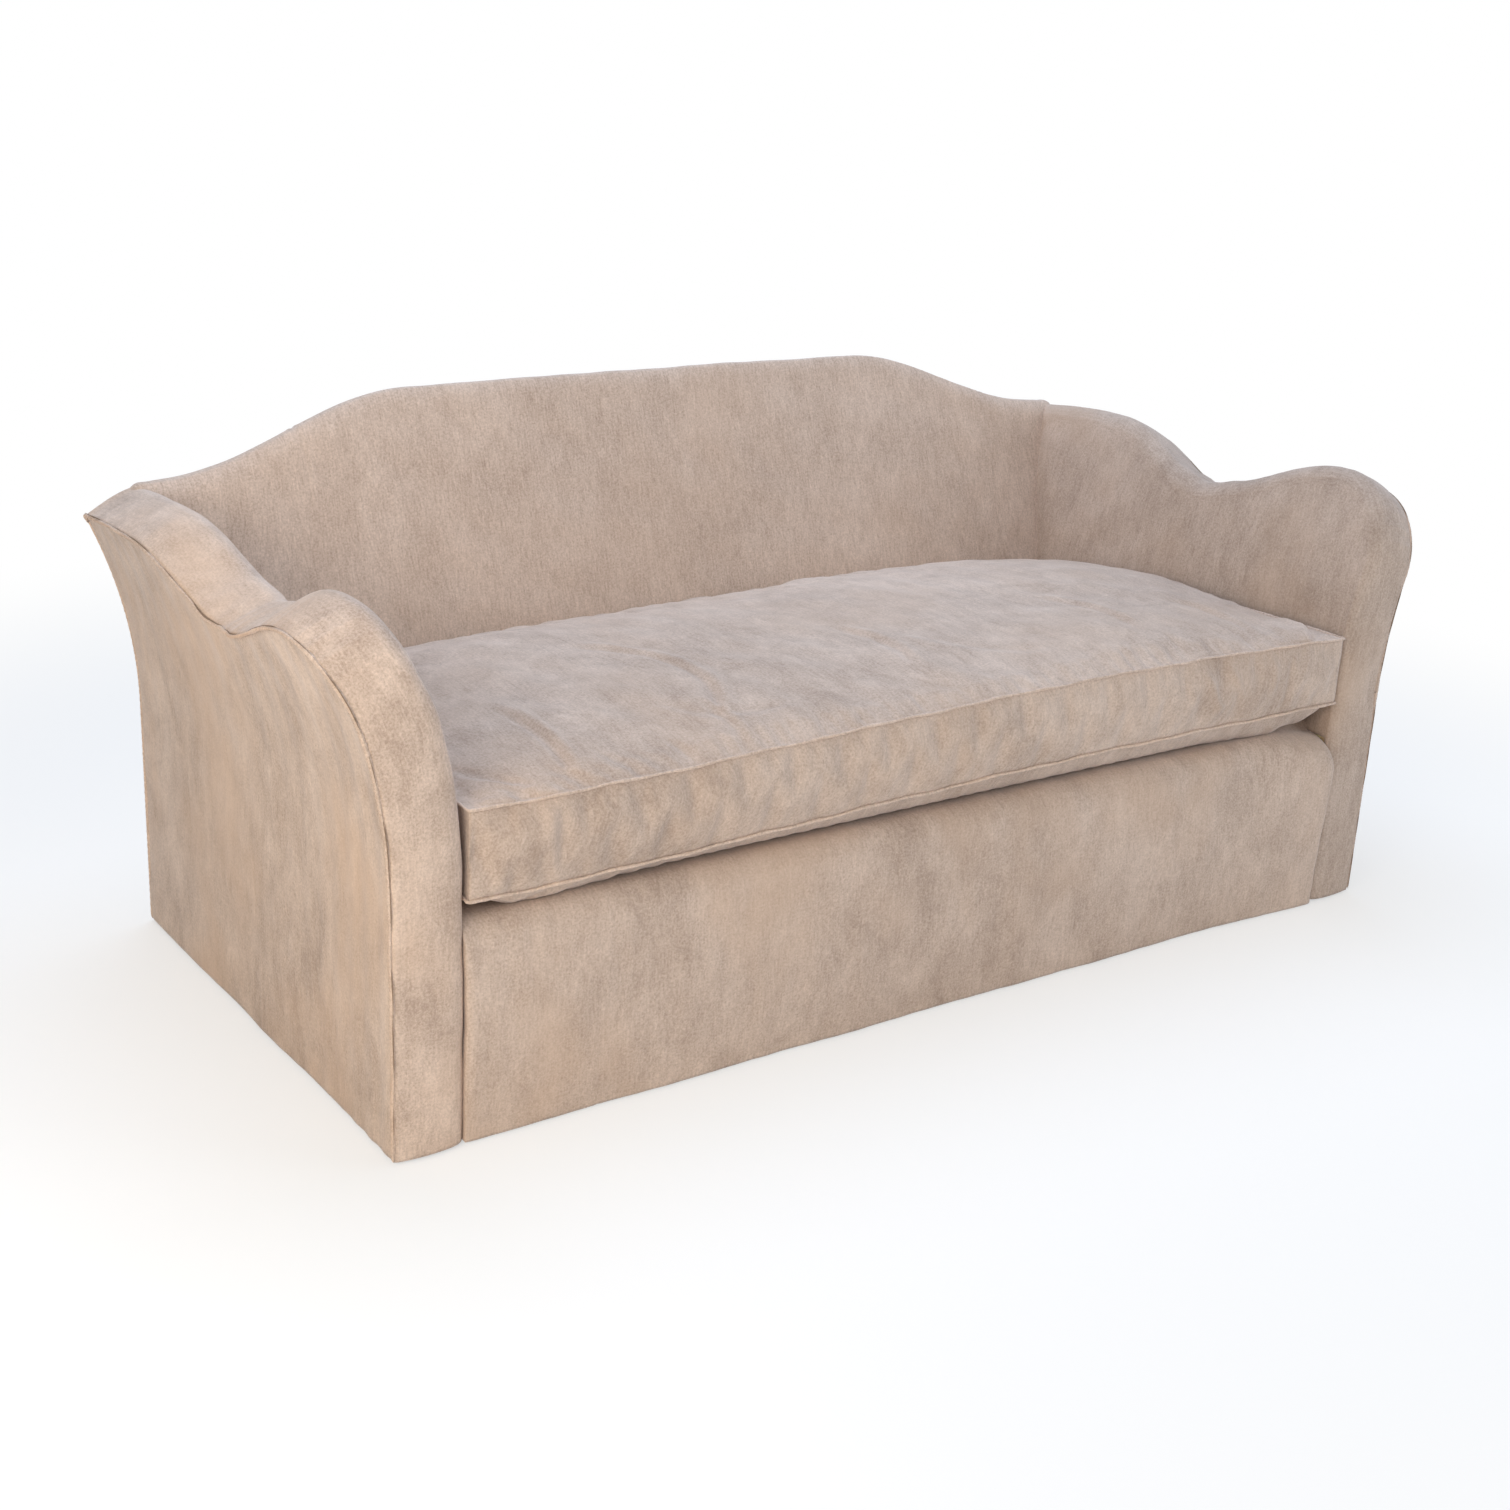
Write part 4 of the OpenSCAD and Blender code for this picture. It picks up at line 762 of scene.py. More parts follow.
def makeStitches(side, label):
    # slanted overcast stitches, each a small thread that arches over the ridge
    path, along, out, up = seamLine(side)
    length = lengthOf(path)
    rng = np.random.default_rng(stitch["seed"] + side)
    spots = np.arange(stitch["ends"], length[-1] - stitch["ends"], stitch["pitch"])
    spots = spots + rng.uniform(-stitch["uneven"], stitch["uneven"], len(spots))
    at, way, face, over = (np.stack([np.interp(spots, length, rows[:, k]) for k in range(3)], axis=-1)
                           for rows in (path, along, out, up))
    lean = rng.uniform(*stitch["lean"], len(spots))[:, None]
    line = over * np.cos(lean) + way * np.sin(lean)
    t = np.linspace(-0.5, 0.5, stitch["steps"])
    high = edgeSeam["radius"] - stitch["sunk"] + stitch["arch"] * np.cos(np.pi * t)
    centres = (at[:, None] + line[:, None] * (t * stitch["long"])[None, :, None]
               + face[:, None] * high[None, :, None])
    thick = stitch["thick"] * np.sqrt(np.maximum(stitch["thinnest"], 1 - (2 * t) ** 2))
    piece = threadsPiece(f"{label}_arm_stitches", centres, face, np.cross(line, face), thick, stitch["steps"])
    dress(piece, "velvetSeamPaintedHighlight", "velvet_seam", "frame")


for armSide, armName in ((-1, "left"), (1, "right")):
    makeArmCover(armSide, armName)
    makeOutsideArm(armSide, armName)
    makeArmSeam(armSide, armName)
    makeStitches(armSide, armName)
print("arms covered")

insideBack = {
    "cols": 330, "rows": 90, "rollRows": 26, "low": 0.296, "reach": 0.006, "rollReach": 0.012, "rollEase": 0.6,
    "easeRows": 9, "easeTimes": 40, "waves": ((0.0016, 21, 0.22, 0.6), (0.0006, 22, 0.05, 0.14)),
    "waveLeast": 0.2, "waveReach": 0.05, "crease": 0.0021, "creaseReach": 0.012,
    "seams": (-0.640, 0.730), "seamDeep": 0.0015, "leanFrom": 0.70, "leans": (1.02, 0),
    "look": 0.6, "cap": (0.015, 1, 0.015), "capCols": 7,
}
groove = {"wide": 0.0022, "lip": 0.35, "lipAway": 2.6, "lipWide": 1.4}


def seamGroove(distance, deep):
    # a narrow sewn groove with a soft lip on each side
    lip = bell(np.abs(distance) - groove["lipAway"] * groove["wide"], groove["lipWide"] * groove["wide"])
    return -deep * bell(distance, groove["wide"]) + groove["lip"] * deep * lip


def makeInsideBack():
    # up the leaning face, then half an ellipse over the top to the outside back
    back, thick = insideBack, sofa["armThick"]
    u = np.linspace(-1, 1, back["cols"])[None, :]
    rollLow = camelLine(u * armEndX) - sofa["rollHigh"]
    p = np.linspace(0, 1, back["rows"])[:, None]
    z = back["low"] + p * (rollLow - back["low"])
    face = stitched(u * (faceX(z, thick) + back["reach"]), inY(z), z)
    a = np.linspace(0, np.pi, back["rollRows"])[1:, None]
    half = (outY(rollLow) - inY(rollLow)) / 2
    zRoll = rollLow + sofa["rollHigh"] * np.sin(a)
    reach = back["reach"] + (back["rollReach"] - back["reach"]) * soft(a / back["rollEase"])
    roll = stitched(u * (faceX(zRoll, thick) + reach), inY(rollLow) + half * (1 - np.cos(a)), zRoll)
    points = eased(placed(np.concatenate([face, roll])), back["rows"], back["easeRows"], back["easeTimes"])
    x, z = points[..., 0], points[..., 2]
    edge = np.maximum(0, faceX(z, thick) - np.abs(x))
    amount = (rippled(points, *back["waves"]) * np.clip(edge / back["waveReach"], back["waveLeast"], 1)
              - back["crease"] * np.exp(-edge / back["creaseReach"]))
    rise = z - back["leanFrom"]
    for seam, lean in zip(back["seams"], back["leans"]):
        amount = amount + seamGroove(x - seam + lean * rise * rise, back["seamDeep"])
    outward = stitched(0 * x, -1 + 0 * x, back["look"] + 0 * x)
    outward[back["rows"] + back["rollRows"] // 2:, :, 1] = 1
    points = pushed(points, outward, amount)
    turn = np.linspace(0, np.pi / 2, back["capCols"])[1:]
    cap = np.stack([np.sin(turn), 0 * turn, np.cos(turn) - 1], axis=-1) * np.array(back["cap"])
    left, right = points[:, :1] + cap[::-1] * np.array([-1, 1, 1]), points[:, -1:] + cap
    points = np.concatenate([left, points, right], axis=1)
    outward = np.pad(outward, ((0, 0), (len(cap), len(cap)), (0, 0)), mode="edge")
    piece = clothPiece("inside_back_cover", [(points, outward, None)], sofa["cloth"])
    return dress(piece, "velvetBackPaintedCoolLight", "velvet", "frame", "inside_back")


outsideBack = {
    "rows": 110, "middle": 250, "arm": 26, "armShort": 0.001, "middleShort": 0.012, "under": 0.0006,
    "waves": ((0.0014, 41, 0.2, 0.6),), "waveReach": 0.04, "edgeTuck": 0.0018, "tuckReach": 0.005,
    "hang": 0.0009, "hangReach": 0.08, "hangStart": 0.02, "gather": (0.061, 2, 7),
    "seams": (-0.655, 0.655), "seamDeep": 0.0013,
    "ridge": 0.0014, "ridgeSides": 6, "ridgeOut": 0.0002, "beats": ((0.2, 2 * np.pi / 0.011),),
}


def makeOutsideBack():
    # hung from the line under the roll and the arms' rear ends, down to the hem
    back, edgeRound = outsideBack, sofa["softEdge"]
    n = np.linspace(sofa["armThick"] - back["armShort"], 0, back["arm"])
    past = np.maximum(0, n - sofa["armThick"] + edgeRound)
    s = sofa["tail"] - (edgeRound - np.sqrt(edgeRound ** 2 - past ** 2)) - band["rearRound"]
    xs = np.linspace(0, armEndX - back["middleShort"], back["middle"] // 2)
    xTop = np.concatenate([xs, armX(s, n)])
    zTop = np.concatenate([camelLine(xs) - sofa["rollHigh"] - back["under"], armZ(s, n)])
    uTop = xTop / faceX(zTop, 0)
    uTop, zTop = np.concatenate([-uTop[:0:-1], uTop])[None], np.concatenate([zTop[:0:-1], zTop])[None]
    z = sofa["hem"] + np.linspace(0, 1, back["rows"])[:, None] * (zTop - sofa["hem"])
    points = placed(stitched(uTop * faceX(z, 0), outY(z), z))
    x = points[..., 0]
    edge = np.minimum(zTop - z, faceX(z, 0) * (1 - np.abs(uTop)))
    amount = (rippled(points, *back["waves"]) * np.clip(edge / back["waveReach"], 0, 1)
              - back["edgeTuck"] * np.exp(-edge / back["tuckReach"])
              + back["hang"] * gathered(x, back["gather"]) * besideEdge(edge, back["hangReach"], back["hangStart"]))
    for seam in back["seams"]:
        amount = amount + seamGroove(x - seam, back["seamDeep"])
    rearward = np.array([0.0, 1.0, 0.0])
    points = pushed(points, rearward, amount)
    piece = clothPiece("outside_back_cover", [(points, rearward, None)], sofa["cloth"])
    dress(piece, "velvetBackPaintedCoolLight", "velvet", "frame", "outside_back")
    path = np.concatenate([points[:-1, 0], points[-1, :-1], points[::-1, -1]]) + rearward * back["ridgeOut"]
    along, out = framed(path, rearward)
    radius = back["ridge"] * beating(lengthOf(path), back["beats"])
    piece = tubePiece("outside_back_seam", path, out, np.cross(along, out), radius, back["ridgeSides"])
    dress(piece, "velvetSeamPaintedHighlight", "velvet_seam", "frame")


front = {
    "cols": 250, "endCols": 16, "faceRows": 62, "rollRows": 22, "topRows": 14, "roll": 0.034, "back": 0.074,
    "fall": 0.018, "fallFrom": 0.690, "fallPower": 1.5, "deeper": 0.014, "taller": 0.020,  # the edge sinks to the right
    "bulge": 0.008, "bulgeHigh": 0.30, "bulgePower": 0.8, "rollPower": 0.7,
    "rightFoot": 0.0115, "rightRise": 0.055, "rightFrom": 0.60, "rightShort": 0.02,
    "short": 0.0003, "endRound": 0.016, "turnAt": 5, "sunkEnd": 0.016,
    "waves": ((0.0013, 51, 0.12, 0.4), (0.0006, 52, 0.04, 0.1)), "seam": -0.608, "seamDeep": 0.0012, "in": 0.0002,
    "pull": 0.00162, "pullReach": 0.14, "pullFrom": 0.45, "gather": (0.034, 1.5, 11), "look": 0.8,
}
padding = {
    "short": 0.003, "clothIn": 0.0030, "waddingIn": 0.0118, "rollBase": 0.2928, "baseGap": 0.001, "least": 0.0008,
    "turnRows": 14, "under": 0.0004, "look": (0, -0.2, 1),
}


def frontColumns(trim):
    # level spacing along the front, closer towards both ends
    end = innerX - front["short"] - trim
    turn = np.linspace(0, np.pi / 2, front["endCols"])[1:]
    tail = end - front["endRound"] * (1 - np.sin(turn))
    middle = np.linspace(-end + front["endRound"], end - front["endRound"], front["cols"])
    return np.concatenate([-tail[::-1], middle, tail])[None, :]


def frontEdge(x):
    # the edge's ellipse at each x: how deep, how high, and the level of its top
    late = np.clip((x - front["fallFrom"]) / (innerX - front["fallFrom"]), 0, 1) ** front["fallPower"]
    deep, high = front["roll"] + front["deeper"] * late, front["roll"] + front["taller"] * late
    return deep, high, sofa["deck"] - front["fall"] * late


def frontSection(x, inset):
    # up the face, an elliptic quarter over the edge, then level back to the deck, all swelling forwards
    deep, high, top = frontEdge(x)
    up = np.linspace(0, 1, front["faceRows"])[:, None]
    t = np.linspace(0, np.pi / 2, front["rollRows"])[1:, None]
    w = np.linspace(0, 1, front["topRows"])[1:, None]
    y = [inset + 0 * up * x, deep - (deep - inset) * np.cos(t), deep + w * (front["back"] - deep)]
    z = [sofa["hem"] + up * (top - high - sofa["hem"]), top - high + (high - inset) * np.sin(t),
         top - inset + (sofa["deck"] - top) * soft(w)]
    y, z = np.concatenate(y), np.concatenate(z)
    share = np.concatenate([1 + 0 * up, np.cos(t) ** front["rollPower"], 0 * w])
    plain = front["bulge"] * np.sin(np.pi * np.clip(z / front["bulgeHigh"], 0, 1)) ** front["bulgePower"]
    right = front["rightFoot"] + front["rightRise"] * z
    past = (x - front["rightFrom"]) / (innerX - front["rightFrom"] - front["rightShort"])
    swell = plain + (right - plain) * soft(past)
    last = np.clip((np.abs(x) - innerX + front["endRound"]) / front["endRound"], 0, 1)
    return y - swell * share * np.sqrt(np.maximum(0, 1 - last ** 2)), z, share


def turnedIn(points, far):
    # one more column at each end, sunk into the seat by far, square to the rise of a column near the end
    rise = np.gradient(points[:, front["turnAt"]:front["turnAt"] + 1], axis=0)
    sunk = np.concatenate([0 * rise[..., :1], rise[..., 2:], -rise[..., 1:2]], axis=-1)
    sunk *= far / np.linalg.norm(sunk, axis=-1, keepdims=True)
    return np.concatenate([points[:, :1] + sunk, points, points[:, -1:] + sunk], axis=1)


def makeFrontPanel():
    # the front's section with slow waves, one sewn groove and short pulls near the upper corners
    x = frontColumns(0)
    y, z, share = frontSection(x, 0)
    points = placed(stitched(x, y, z))
    end = innerX - np.abs(points[..., 0])
    pull = (front["pull"] * gathered(x, front["gather"]) * np.exp(-end / front["pullReach"])
            * np.clip(z / sofa["deck"] - front["pullFrom"], 0, 1))
    groovedWaves = rippled(points, *front["waves"]) + pull + seamGroove(x - front["seam"], front["seamDeep"])
    outward = np.array([0, -1, front["look"]])
    points = turnedIn(pushed(points, outward, groovedWaves * share - front["in"]), front["sunkEnd"])
    piece = clothPiece("front_panel_cover", [(points, outward, None)], sofa["cloth"])
    return dress(piece, "velvetFront", "velvet", "frame", "front_panel")


def makeFrontPadding():
    # the wadding follows the cover a cloth's thickness inside it, the edge roll follows the wadding
    x = frontColumns(padding["short"])
    turned = front["faceRows"] + front["rollRows"] - 1
    base, inset = padding["rollBase"], padding["waddingIn"]
    outer, inner = (placed(stitched(x, *frontSection(x, depth)[:2])) for depth in (padding["clothIn"], inset))
    piece = slabPiece("front_wadding", outer[:turned], inner[:turned], np.array([0, -1, front["look"]]))
    dress(piece, "wadding", "wadding", "frame", "front_panel_wadding")
    deep, high, top = frontEdge(x)
    start = np.arcsin(np.clip((base + padding["baseGap"] - top + high) / (high - inset), 0, 1))
    t = start + (np.pi / 2 - start) * np.linspace(0, 1, padding["turnRows"])[:, None]
    curve = placed(stitched(x, deep - (deep - inset) * np.cos(t), top - high + (high - inset) * np.sin(t)))
    over = np.concatenate([curve, outer[turned:] - np.array([0, 0, padding["under"]])])
    over[..., 2] = np.maximum(over[..., 2], base + padding["least"])
    under = over * np.array([1, 1, 0]) + np.array([0, 0, base])
    piece = slabPiece("front_roll", over, under, np.array(padding["look"]))
    return dress(piece, "foam", "foam", "frame", "front_edge_roll")


deckCloth = {
    "cols": 120, "rows": 60, "short": 0.001, "lap": 0.004, "sunk": 0.0012, "thick": 0.0016,
    "waves": ((0.0008, 61, 0.1, 0.3),),
}


def makeDeckCover():
    # a level sheet between the arms, from the front's rolled edge to the back, with slow waves
    end = innerX - deckCloth["short"]
    x = np.linspace(-end, end, deckCloth["cols"])[None, :]
    rear = float(inY(sofa["deck"])) - deckCloth["short"]
    y = np.linspace(front["back"] - deckCloth["lap"], rear, deckCloth["rows"])[:, None]
    points = placed(stitched(x, y, sofa["deck"] + 0 * x))
    points[..., 2] += rippled(points, *deckCloth["waves"]) - deckCloth["sunk"]
    piece = clothPiece("deck_cloth_cover", [(points, np.array([0, 0, 1]), None)], deckCloth["thick"])
    return dress(piece, "deckCloth", "deck_cloth", "frame", "deck_cover")


dust = {
    "cols": 120, "rows": 60, "sag": 0.0012, "under": 0.0012, "thick": 0.0006, "waves": ((0.0003, 71, 0.08, 0.2),),
    "staple": 0.010, "pitch": 0.045, "wire": 0.0005, "in": 0.012, "ends": 0.02, "steps": 7, "sides": 6,
    "stapleUnder": 0.0022, "stapleRise": 0.0012, "cornerPower": 8,
}


def makeDustCover():
    # a thin cloth that sags a little, held by a row of wire staples round its edge
    low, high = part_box("dust_cover")
    x = np.linspace(low.x, high.x, dust["cols"])[None, :]
    y = np.linspace(low.y, high.y, dust["rows"])[:, None]
    across, along = (x - low.x) / (high.x - low.x), (y - low.y) / (high.y - low.y)
    sag = dust["under"] + dust["sag"] * np.sin(np.pi * across) * np.sin(np.pi * along)
    points = stitched(x, y, high.z - sag)
    points[..., 2] += rippled(points, *dust["waves"])
    piece = clothPiece("dust_cloth_cover", [(points, np.array([0, 0, -1]), None)], dust["thick"])
    dress(piece, "dustCloth", "dust_cloth", "frame", "dust_cover")
    x0, y0, x1, y1 = low.x + dust["in"], low.y + dust["in"], high.x - dust["in"], high.y - dust["in"]
    corners = np.array([(x0, y0), (x1, y0), (x1, y1), (x0, y1), (x0, y0)])
    spots, ways = [], []
    for start, end in zip(corners, corners[1:]):
        span = np.linalg.norm(end - start)
        t = np.arange(dust["ends"], span - dust["ends"], dust["pitch"])[:, None] / span
        spots.append(start + t * (end - start))
        ways.append(np.tile((end - start) / span, (len(t), 1)))
    spots, ways = np.concatenate(spots), np.concatenate(ways)
    t = np.linspace(-1, 1, dust["steps"])
    line = spots[:, None] + ways[:, None] * (t * dust["staple"] / 2)[None, :, None]
    level = high.z - dust["stapleUnder"] + dust["stapleRise"] * t ** dust["cornerPower"]
    centres = np.concatenate([line, np.broadcast_to(level[None, :, None], line.shape[:2] + (1,))], axis=-1)
    sideways = np.stack([-ways[:, 1], ways[:, 0], 0 * ways[:, 0]], axis=-1)
    piece = threadsPiece("dust_cover_staples", centres, sideways, np.tile((0.0, 0.0, 1.0), (len(ways), 1)),
                         np.full(len(t), dust["wire"]), dust["sides"])
    return dress(piece, "springSteel", "spring_steel", "frame")


makeInsideBack()
makeOutsideBack()
makeFrontPanel()
makeFrontPadding()
makeDeckCover()
makeDustCover()
print("back, front and deck covered")

cushion = {  # the loose cushion; seams in metres above the floor
    "lowSeam": 0.360, "topSeam": 0.471, "bottom": 0.3179, "crown": 0.034, "fall": 2.2, "span": 0.74,
    "topReach": (0.34, 0.29), "lowReach": (0.10, 0.042), "frontReach": 0.4, "rearReach": 0.55, "rearBend": 1.8,
    "halfLong": 0.8054, "backGap": 0.007, "endDraw": 0.009, "frontDraw": 0.004,
    "wander": ((0.0009, 23, 2, 0), (0.0006, 61, 1, 9)), "wanderEnds": 9,  # height, rate, label's share, rate rearwards
    "swell": 0.006, "swellEnds": 7, "swellPower": 0.8,
    "cols": 176, "rows": 80, "boxRows": 12, "closer": 0.6, "seam": 0.0023, "seamOut": 0.0022,
    "beats": ((0.14, 2 * np.pi / 0.017), (0.16, 61)),
    "widest": 0.8090, "foremost": -0.4695, "cap": 0.010, "quickSwell": 0.006, "lowSwell": 0.4, "heldFrom": 0.999,
    "fillShare": np.array([0.9945, 0.988, 0.95]), "coverFill": 0.75, "coreFill": 0.7,
}
seamHeights = {  # (share across, height): the front seams rise in the middle, the rear ones sink into the seat
    "topFront": ((-1, 0.4710), (-0.7, 0.4705), (-0.35, 0.4765), (0, 0.4830), (0.35, 0.4885), (0.6, 0.4860),
                 (0.85, 0.4785), (1, 0.4760)),
    "topRear": ((-1, 0.408), (-0.75, 0.413), (-0.4, 0.431), (0, 0.437), (0.3, 0.438), (0.6, 0.435), (0.8, 0.428),
                (1, 0.407)),
    "lowFront": ((-1, 0.3470), (-0.75, 0.3485), (-0.4, 0.3520), (0, 0.3610), (0.35, 0.3660), (0.6, 0.3650),
                 (0.85, 0.3625), (1, 0.3650)),
    "lowRear": ((-1, 0.336), (-0.5, 0.337), (0, 0.338), (0.5, 0.337), (1, 0.336)),
}
seamOrder = 4  # of the curve through each row of heights
seamCurves = {name: np.polynomial.Polynomial.fit(*zip(*knots), seamOrder) for name, knots in seamHeights.items()}
cushionCloth = {
    "pressure": 3.0, "shrink": -0.03, "stiff": 12.0, "shear": 5.0, "bend": 0.3, "mass": 0.25, "frames": 20,
    "quality": 5,
}


def cushionEdge(a, b, seam):
    # a from -1 to 1 across, b from 0 to 1 to the back: sides drawn in between the corners
    back = inY(seam) - cushion["backGap"]
    lead = cushion["frontDraw"] * np.cos(np.pi / 2 * a)
    return a * (cushion["halfLong"] - cushion["endDraw"] * np.sin(np.pi * b)), lead + (back - lead) * b


def seamLevel(side, level, a, b):
    # the level, eased to the front seam's curve near the front and bent to the rear one's over the last half
    toFront = 1 - soft(b / cushion["frontReach"])
    toRear = np.clip((b - 1 + cushion["rearReach"]) / cushion["rearReach"], 0, 1) ** cushion["rearBend"]
    front, rear = (seamCurves[side + end](a) - level for end in ("Front", "Rear"))
    wave = sum(height * np.sin(rate * a + share * len(side) + rearRate * b)
               for height, rate, share, rearRate in cushion["wander"])
    ends = np.clip((1 - np.abs(a)) * cushion["wanderEnds"], 0, 1)
    return level + front * toFront + rear * toRear + wave * toFront * ends


def crownShare(a, b, reach):
    # 0 on the seams, 1 over most of the middle
    dx = (1 - np.abs(a)) * cushion["halfLong"] / reach[0]
    dy = np.minimum(b, 1 - b) * cushion["span"] / reach[1]
    rise = [1 - (1 - np.clip(d, 0, 1)) ** cushion["fall"] for d in (dx, dy)]
    return rise[0] * rise[1]


def panel(side, a, b):
    # the top or bottom panel: from its seams up to the crown, or down to the level bottom
    level = cushion["topSeam"] if side == "top" else cushion["lowSeam"]
    seam = seamLevel(side, level, a, b)
    rise = cushion["crown"] if side == "top" else cushion["bottom"] - seam
    reach = cushion["topReach"] if side == "top" else cushion["lowReach"]
    x, y = cushionEdge(a, b, seam)
    return placed(stitched(x, y, seam + rise * crownShare(a, b, reach)))


def sewnNet(times):
    # shares across and back, closer together near the front and rear seams, and the three grids: top, bottom, side
    t = np.linspace(0, 1, cushion["rows"] * times + 1)
    a, b = np.meshgrid(np.linspace(-1, 1, cushion["cols"] * times + 1),
                       t - cushion["closer"] * np.sin(2 * np.pi * t) / (2 * np.pi))
    top, low = panel("top", a, b), panel("low", a, b)
    topRing, lowRing, ring = ringOf(top), ringOf(low), ringOf(np.stack([a, b], axis=-1))
    share = np.linspace(0, 1, cushion["boxRows"] * times + 1)[:, None]
    side = lowRing[None] + (topRing - lowRing)[None] * share[..., None]
    tangent = np.roll(topRing, -1, axis=0) - np.roll(topRing, 1, axis=0)
    out = np.stack([tangent[:, 1], -tangent[:, 0], 0 * tangent[:, 0]], axis=-1)
    out /= np.linalg.norm(out, axis=1, keepdims=True)
    isFront = ring[:, 1] < samePlace
    ends = np.clip((1 - np.abs(ring[:, 0])) * cushion["swellEnds"], 0, 1)
    arch = np.sin(np.pi * share) ** cushion["swellPower"]
    side = side + out[None] * (cushion["swell"] * isFront * ends * arch)[..., None]
    return a, b, [top, low, np.concatenate([side, side[:, :1]], axis=1)], out, ring, share


def doubled(values):
    # twice as many rows and columns: halfway points, then a quarter, half, quarter average inside the border
    for _ in range(2):
        more = np.empty((2 * len(values) - 1,) + values.shape[1:])
        more[::2], more[1::2] = values, (values[1:] + values[:-1]) / 2
        more[1:-1] = more[:-2] / 4 + more[1:-1] / 2 + more[2:] / 4
        values = more.swapaxes(0, 1)
    return values


def puffed(grids, outwards, pinned):
    # the closed net swells under pressure with its seams held, each point moving no further than the cap
    flat = np.concatenate([g.reshape(-1, 3) for g in grids])
    kept, place = np.unique(np.round(flat, sameDigits), axis=0, return_inverse=True)
    place = place.ravel()
    starts = np.cumsum([0] + [g.shape[0] * g.shape[1] for g in grids])
    quads = np.concatenate([facing(g, o) + start for g, o, start in zip(grids, outwards, starts)])
    net = makeMesh("cushion_net", kept, place[quads])
    held = net.vertex_groups.new(name="seams")
    held.add([int(v) for v in np.unique(place[pinned])], 1.0, "REPLACE")
    cloth = net.modifiers.new("cloth", "CLOTH")
    make = cloth.settings
    make.quality, make.mass, make.vertex_group_mass = cushionCloth["quality"], cushionCloth["mass"], "seams"
    make.tension_stiffness = make.compression_stiffness = cushionCloth["stiff"]
    make.shear_stiffness, make.bending_stiffness = cushionCloth["shear"], cushionCloth["bend"]
    make.use_pressure, make.uniform_pressure_force = True, cushionCloth["pressure"]
    make.shrink_min, make.effector_weights.gravity = cushionCloth["shrink"], 0
    cloth.collision_settings.use_collision = False
    cloth.point_cache.frame_start, cloth.point_cache.frame_end = 1, cushionCloth["frames"]
    for step in range(1, cushionCloth["frames"] + 1):
        bpy.context.scene.frame_set(step)
    done = net.evaluated_get(bpy.context.evaluated_depsgraph_get()).data
    moved = np.empty(len(done.vertices) * 3, np.float32)
    done.vertices.foreach_get("co", moved)
    bpy.data.objects.remove(net)
    bpy.context.scene.frame_set(1)
    way = moved.reshape(-1, 3).astype(float) - kept
    size = np.linalg.norm(way, axis=1, keepdims=True)
    print("cushion swelled: mean %.4f, most %.4f" % (size.mean(), size.max()))
    way *= np.minimum(1, cushion["cap"] / np.maximum(size, tiny))
    return [way[place[start:end]].reshape(g.shape) for g, start, end in zip(grids, starts, starts[1:])]


creases = (  # creases in the top as arcs: centre x, y, radius, start and end degrees, depth, width
    (-1.04, 0.14, 0.410, -21, 18, 0.0052, 0.0075), (-0.56, 0.24, 0.235, -40, 54, 0.0046, 0.0085),
    (-0.62, 0.09, 0.250, -20, 15, 0.0032, 0.0065), (-0.72, 0.02, 0.230, -12, 12, 0.0026, 0.0060),
    (-0.22, 0.23, 0.235, -28, 26, 0.0038, 0.0090), (0.20, 0.20, 0.240, -26, 34, 0.0034, 0.0090),
    (0.42, 0.12, 0.220, -30, 30, 0.0032, 0.0080), (-0.30, 0.22, 0.140, 200, 290, 0.0016, 0.0100),
    (0.26, 0.30, 0.200, 190, 270, 0.0016, 0.0120),
)
sideFolds = (  # folds in the front band: foot x, foot z, head x, head z, height, width
    (0.519, 0.398, 0.481, 0.462, 0.0058, 0.0065), (0.566, 0.414, 0.534, 0.468, 0.0052, 0.0060),
    (0.635, 0.414, 0.639, 0.460, 0.0040, 0.0065), (0.458, 0.420, 0.440, 0.468, 0.0030, 0.0065),
    (0.700, 0.395, 0.712, 0.450, 0.0016, 0.008), (-0.690, 0.390, -0.700, 0.440, 0.0016, 0.010),
    (0.110, 0.400, 0.095, 0.440, 0.0014, 0.010), (-0.060, 0.385, -0.200, 0.372, 0.0014, 0.006),
)


arcs = {"ease": 12, "ridge": 0.8, "ridgeAway": 1.7, "ridgeWide": 1.3}


def creaseDepth(x, y):
    # a soft valley along each arc with a ridge outside it
    total = np.zeros_like(x)
    for cx, cy, radius, start, end, deep, wide in creases:
        turn = (np.degrees(np.arctan2(y - cy, x - cx)) - start) % 360
        along = soft(turn / arcs["ease"]) * soft((end - start - turn) / arcs["ease"])
        gap = np.hypot(x - cx, y - cy) - radius
        ridge = bell(gap - arcs["ridgeAway"] * wide, arcs["ridgeWide"] * wide)
        total += along * (-deep * bell(gap, wide) + arcs["ridge"] * deep * ridge)
    return total


foldEnds = {"past": 0.25, "ease": 0.4}  # in shares of a fold's length


def foldHeight(p, q, folds):
    # a rounded ridge along each straight line, in the plane of p and q
    total = np.zeros(np.broadcast(p, q).shape)
    for p0, q0, p1, q1, tall, wide in folds:
        span = math.hypot(p1 - p0, q1 - q0)
        t = ((p - p0) * (p1 - p0) + (q - q0) * (q1 - q0)) / span ** 2
        off = ((p - p0) * (q1 - q0) - (q - q0) * (p1 - p0)) / span
        near, far = (soft((end + foldEnds["past"]) / foldEnds["ease"]) for end in (t, 1 - t))
        total += tall * near * far * bell(off, wide)
    return total


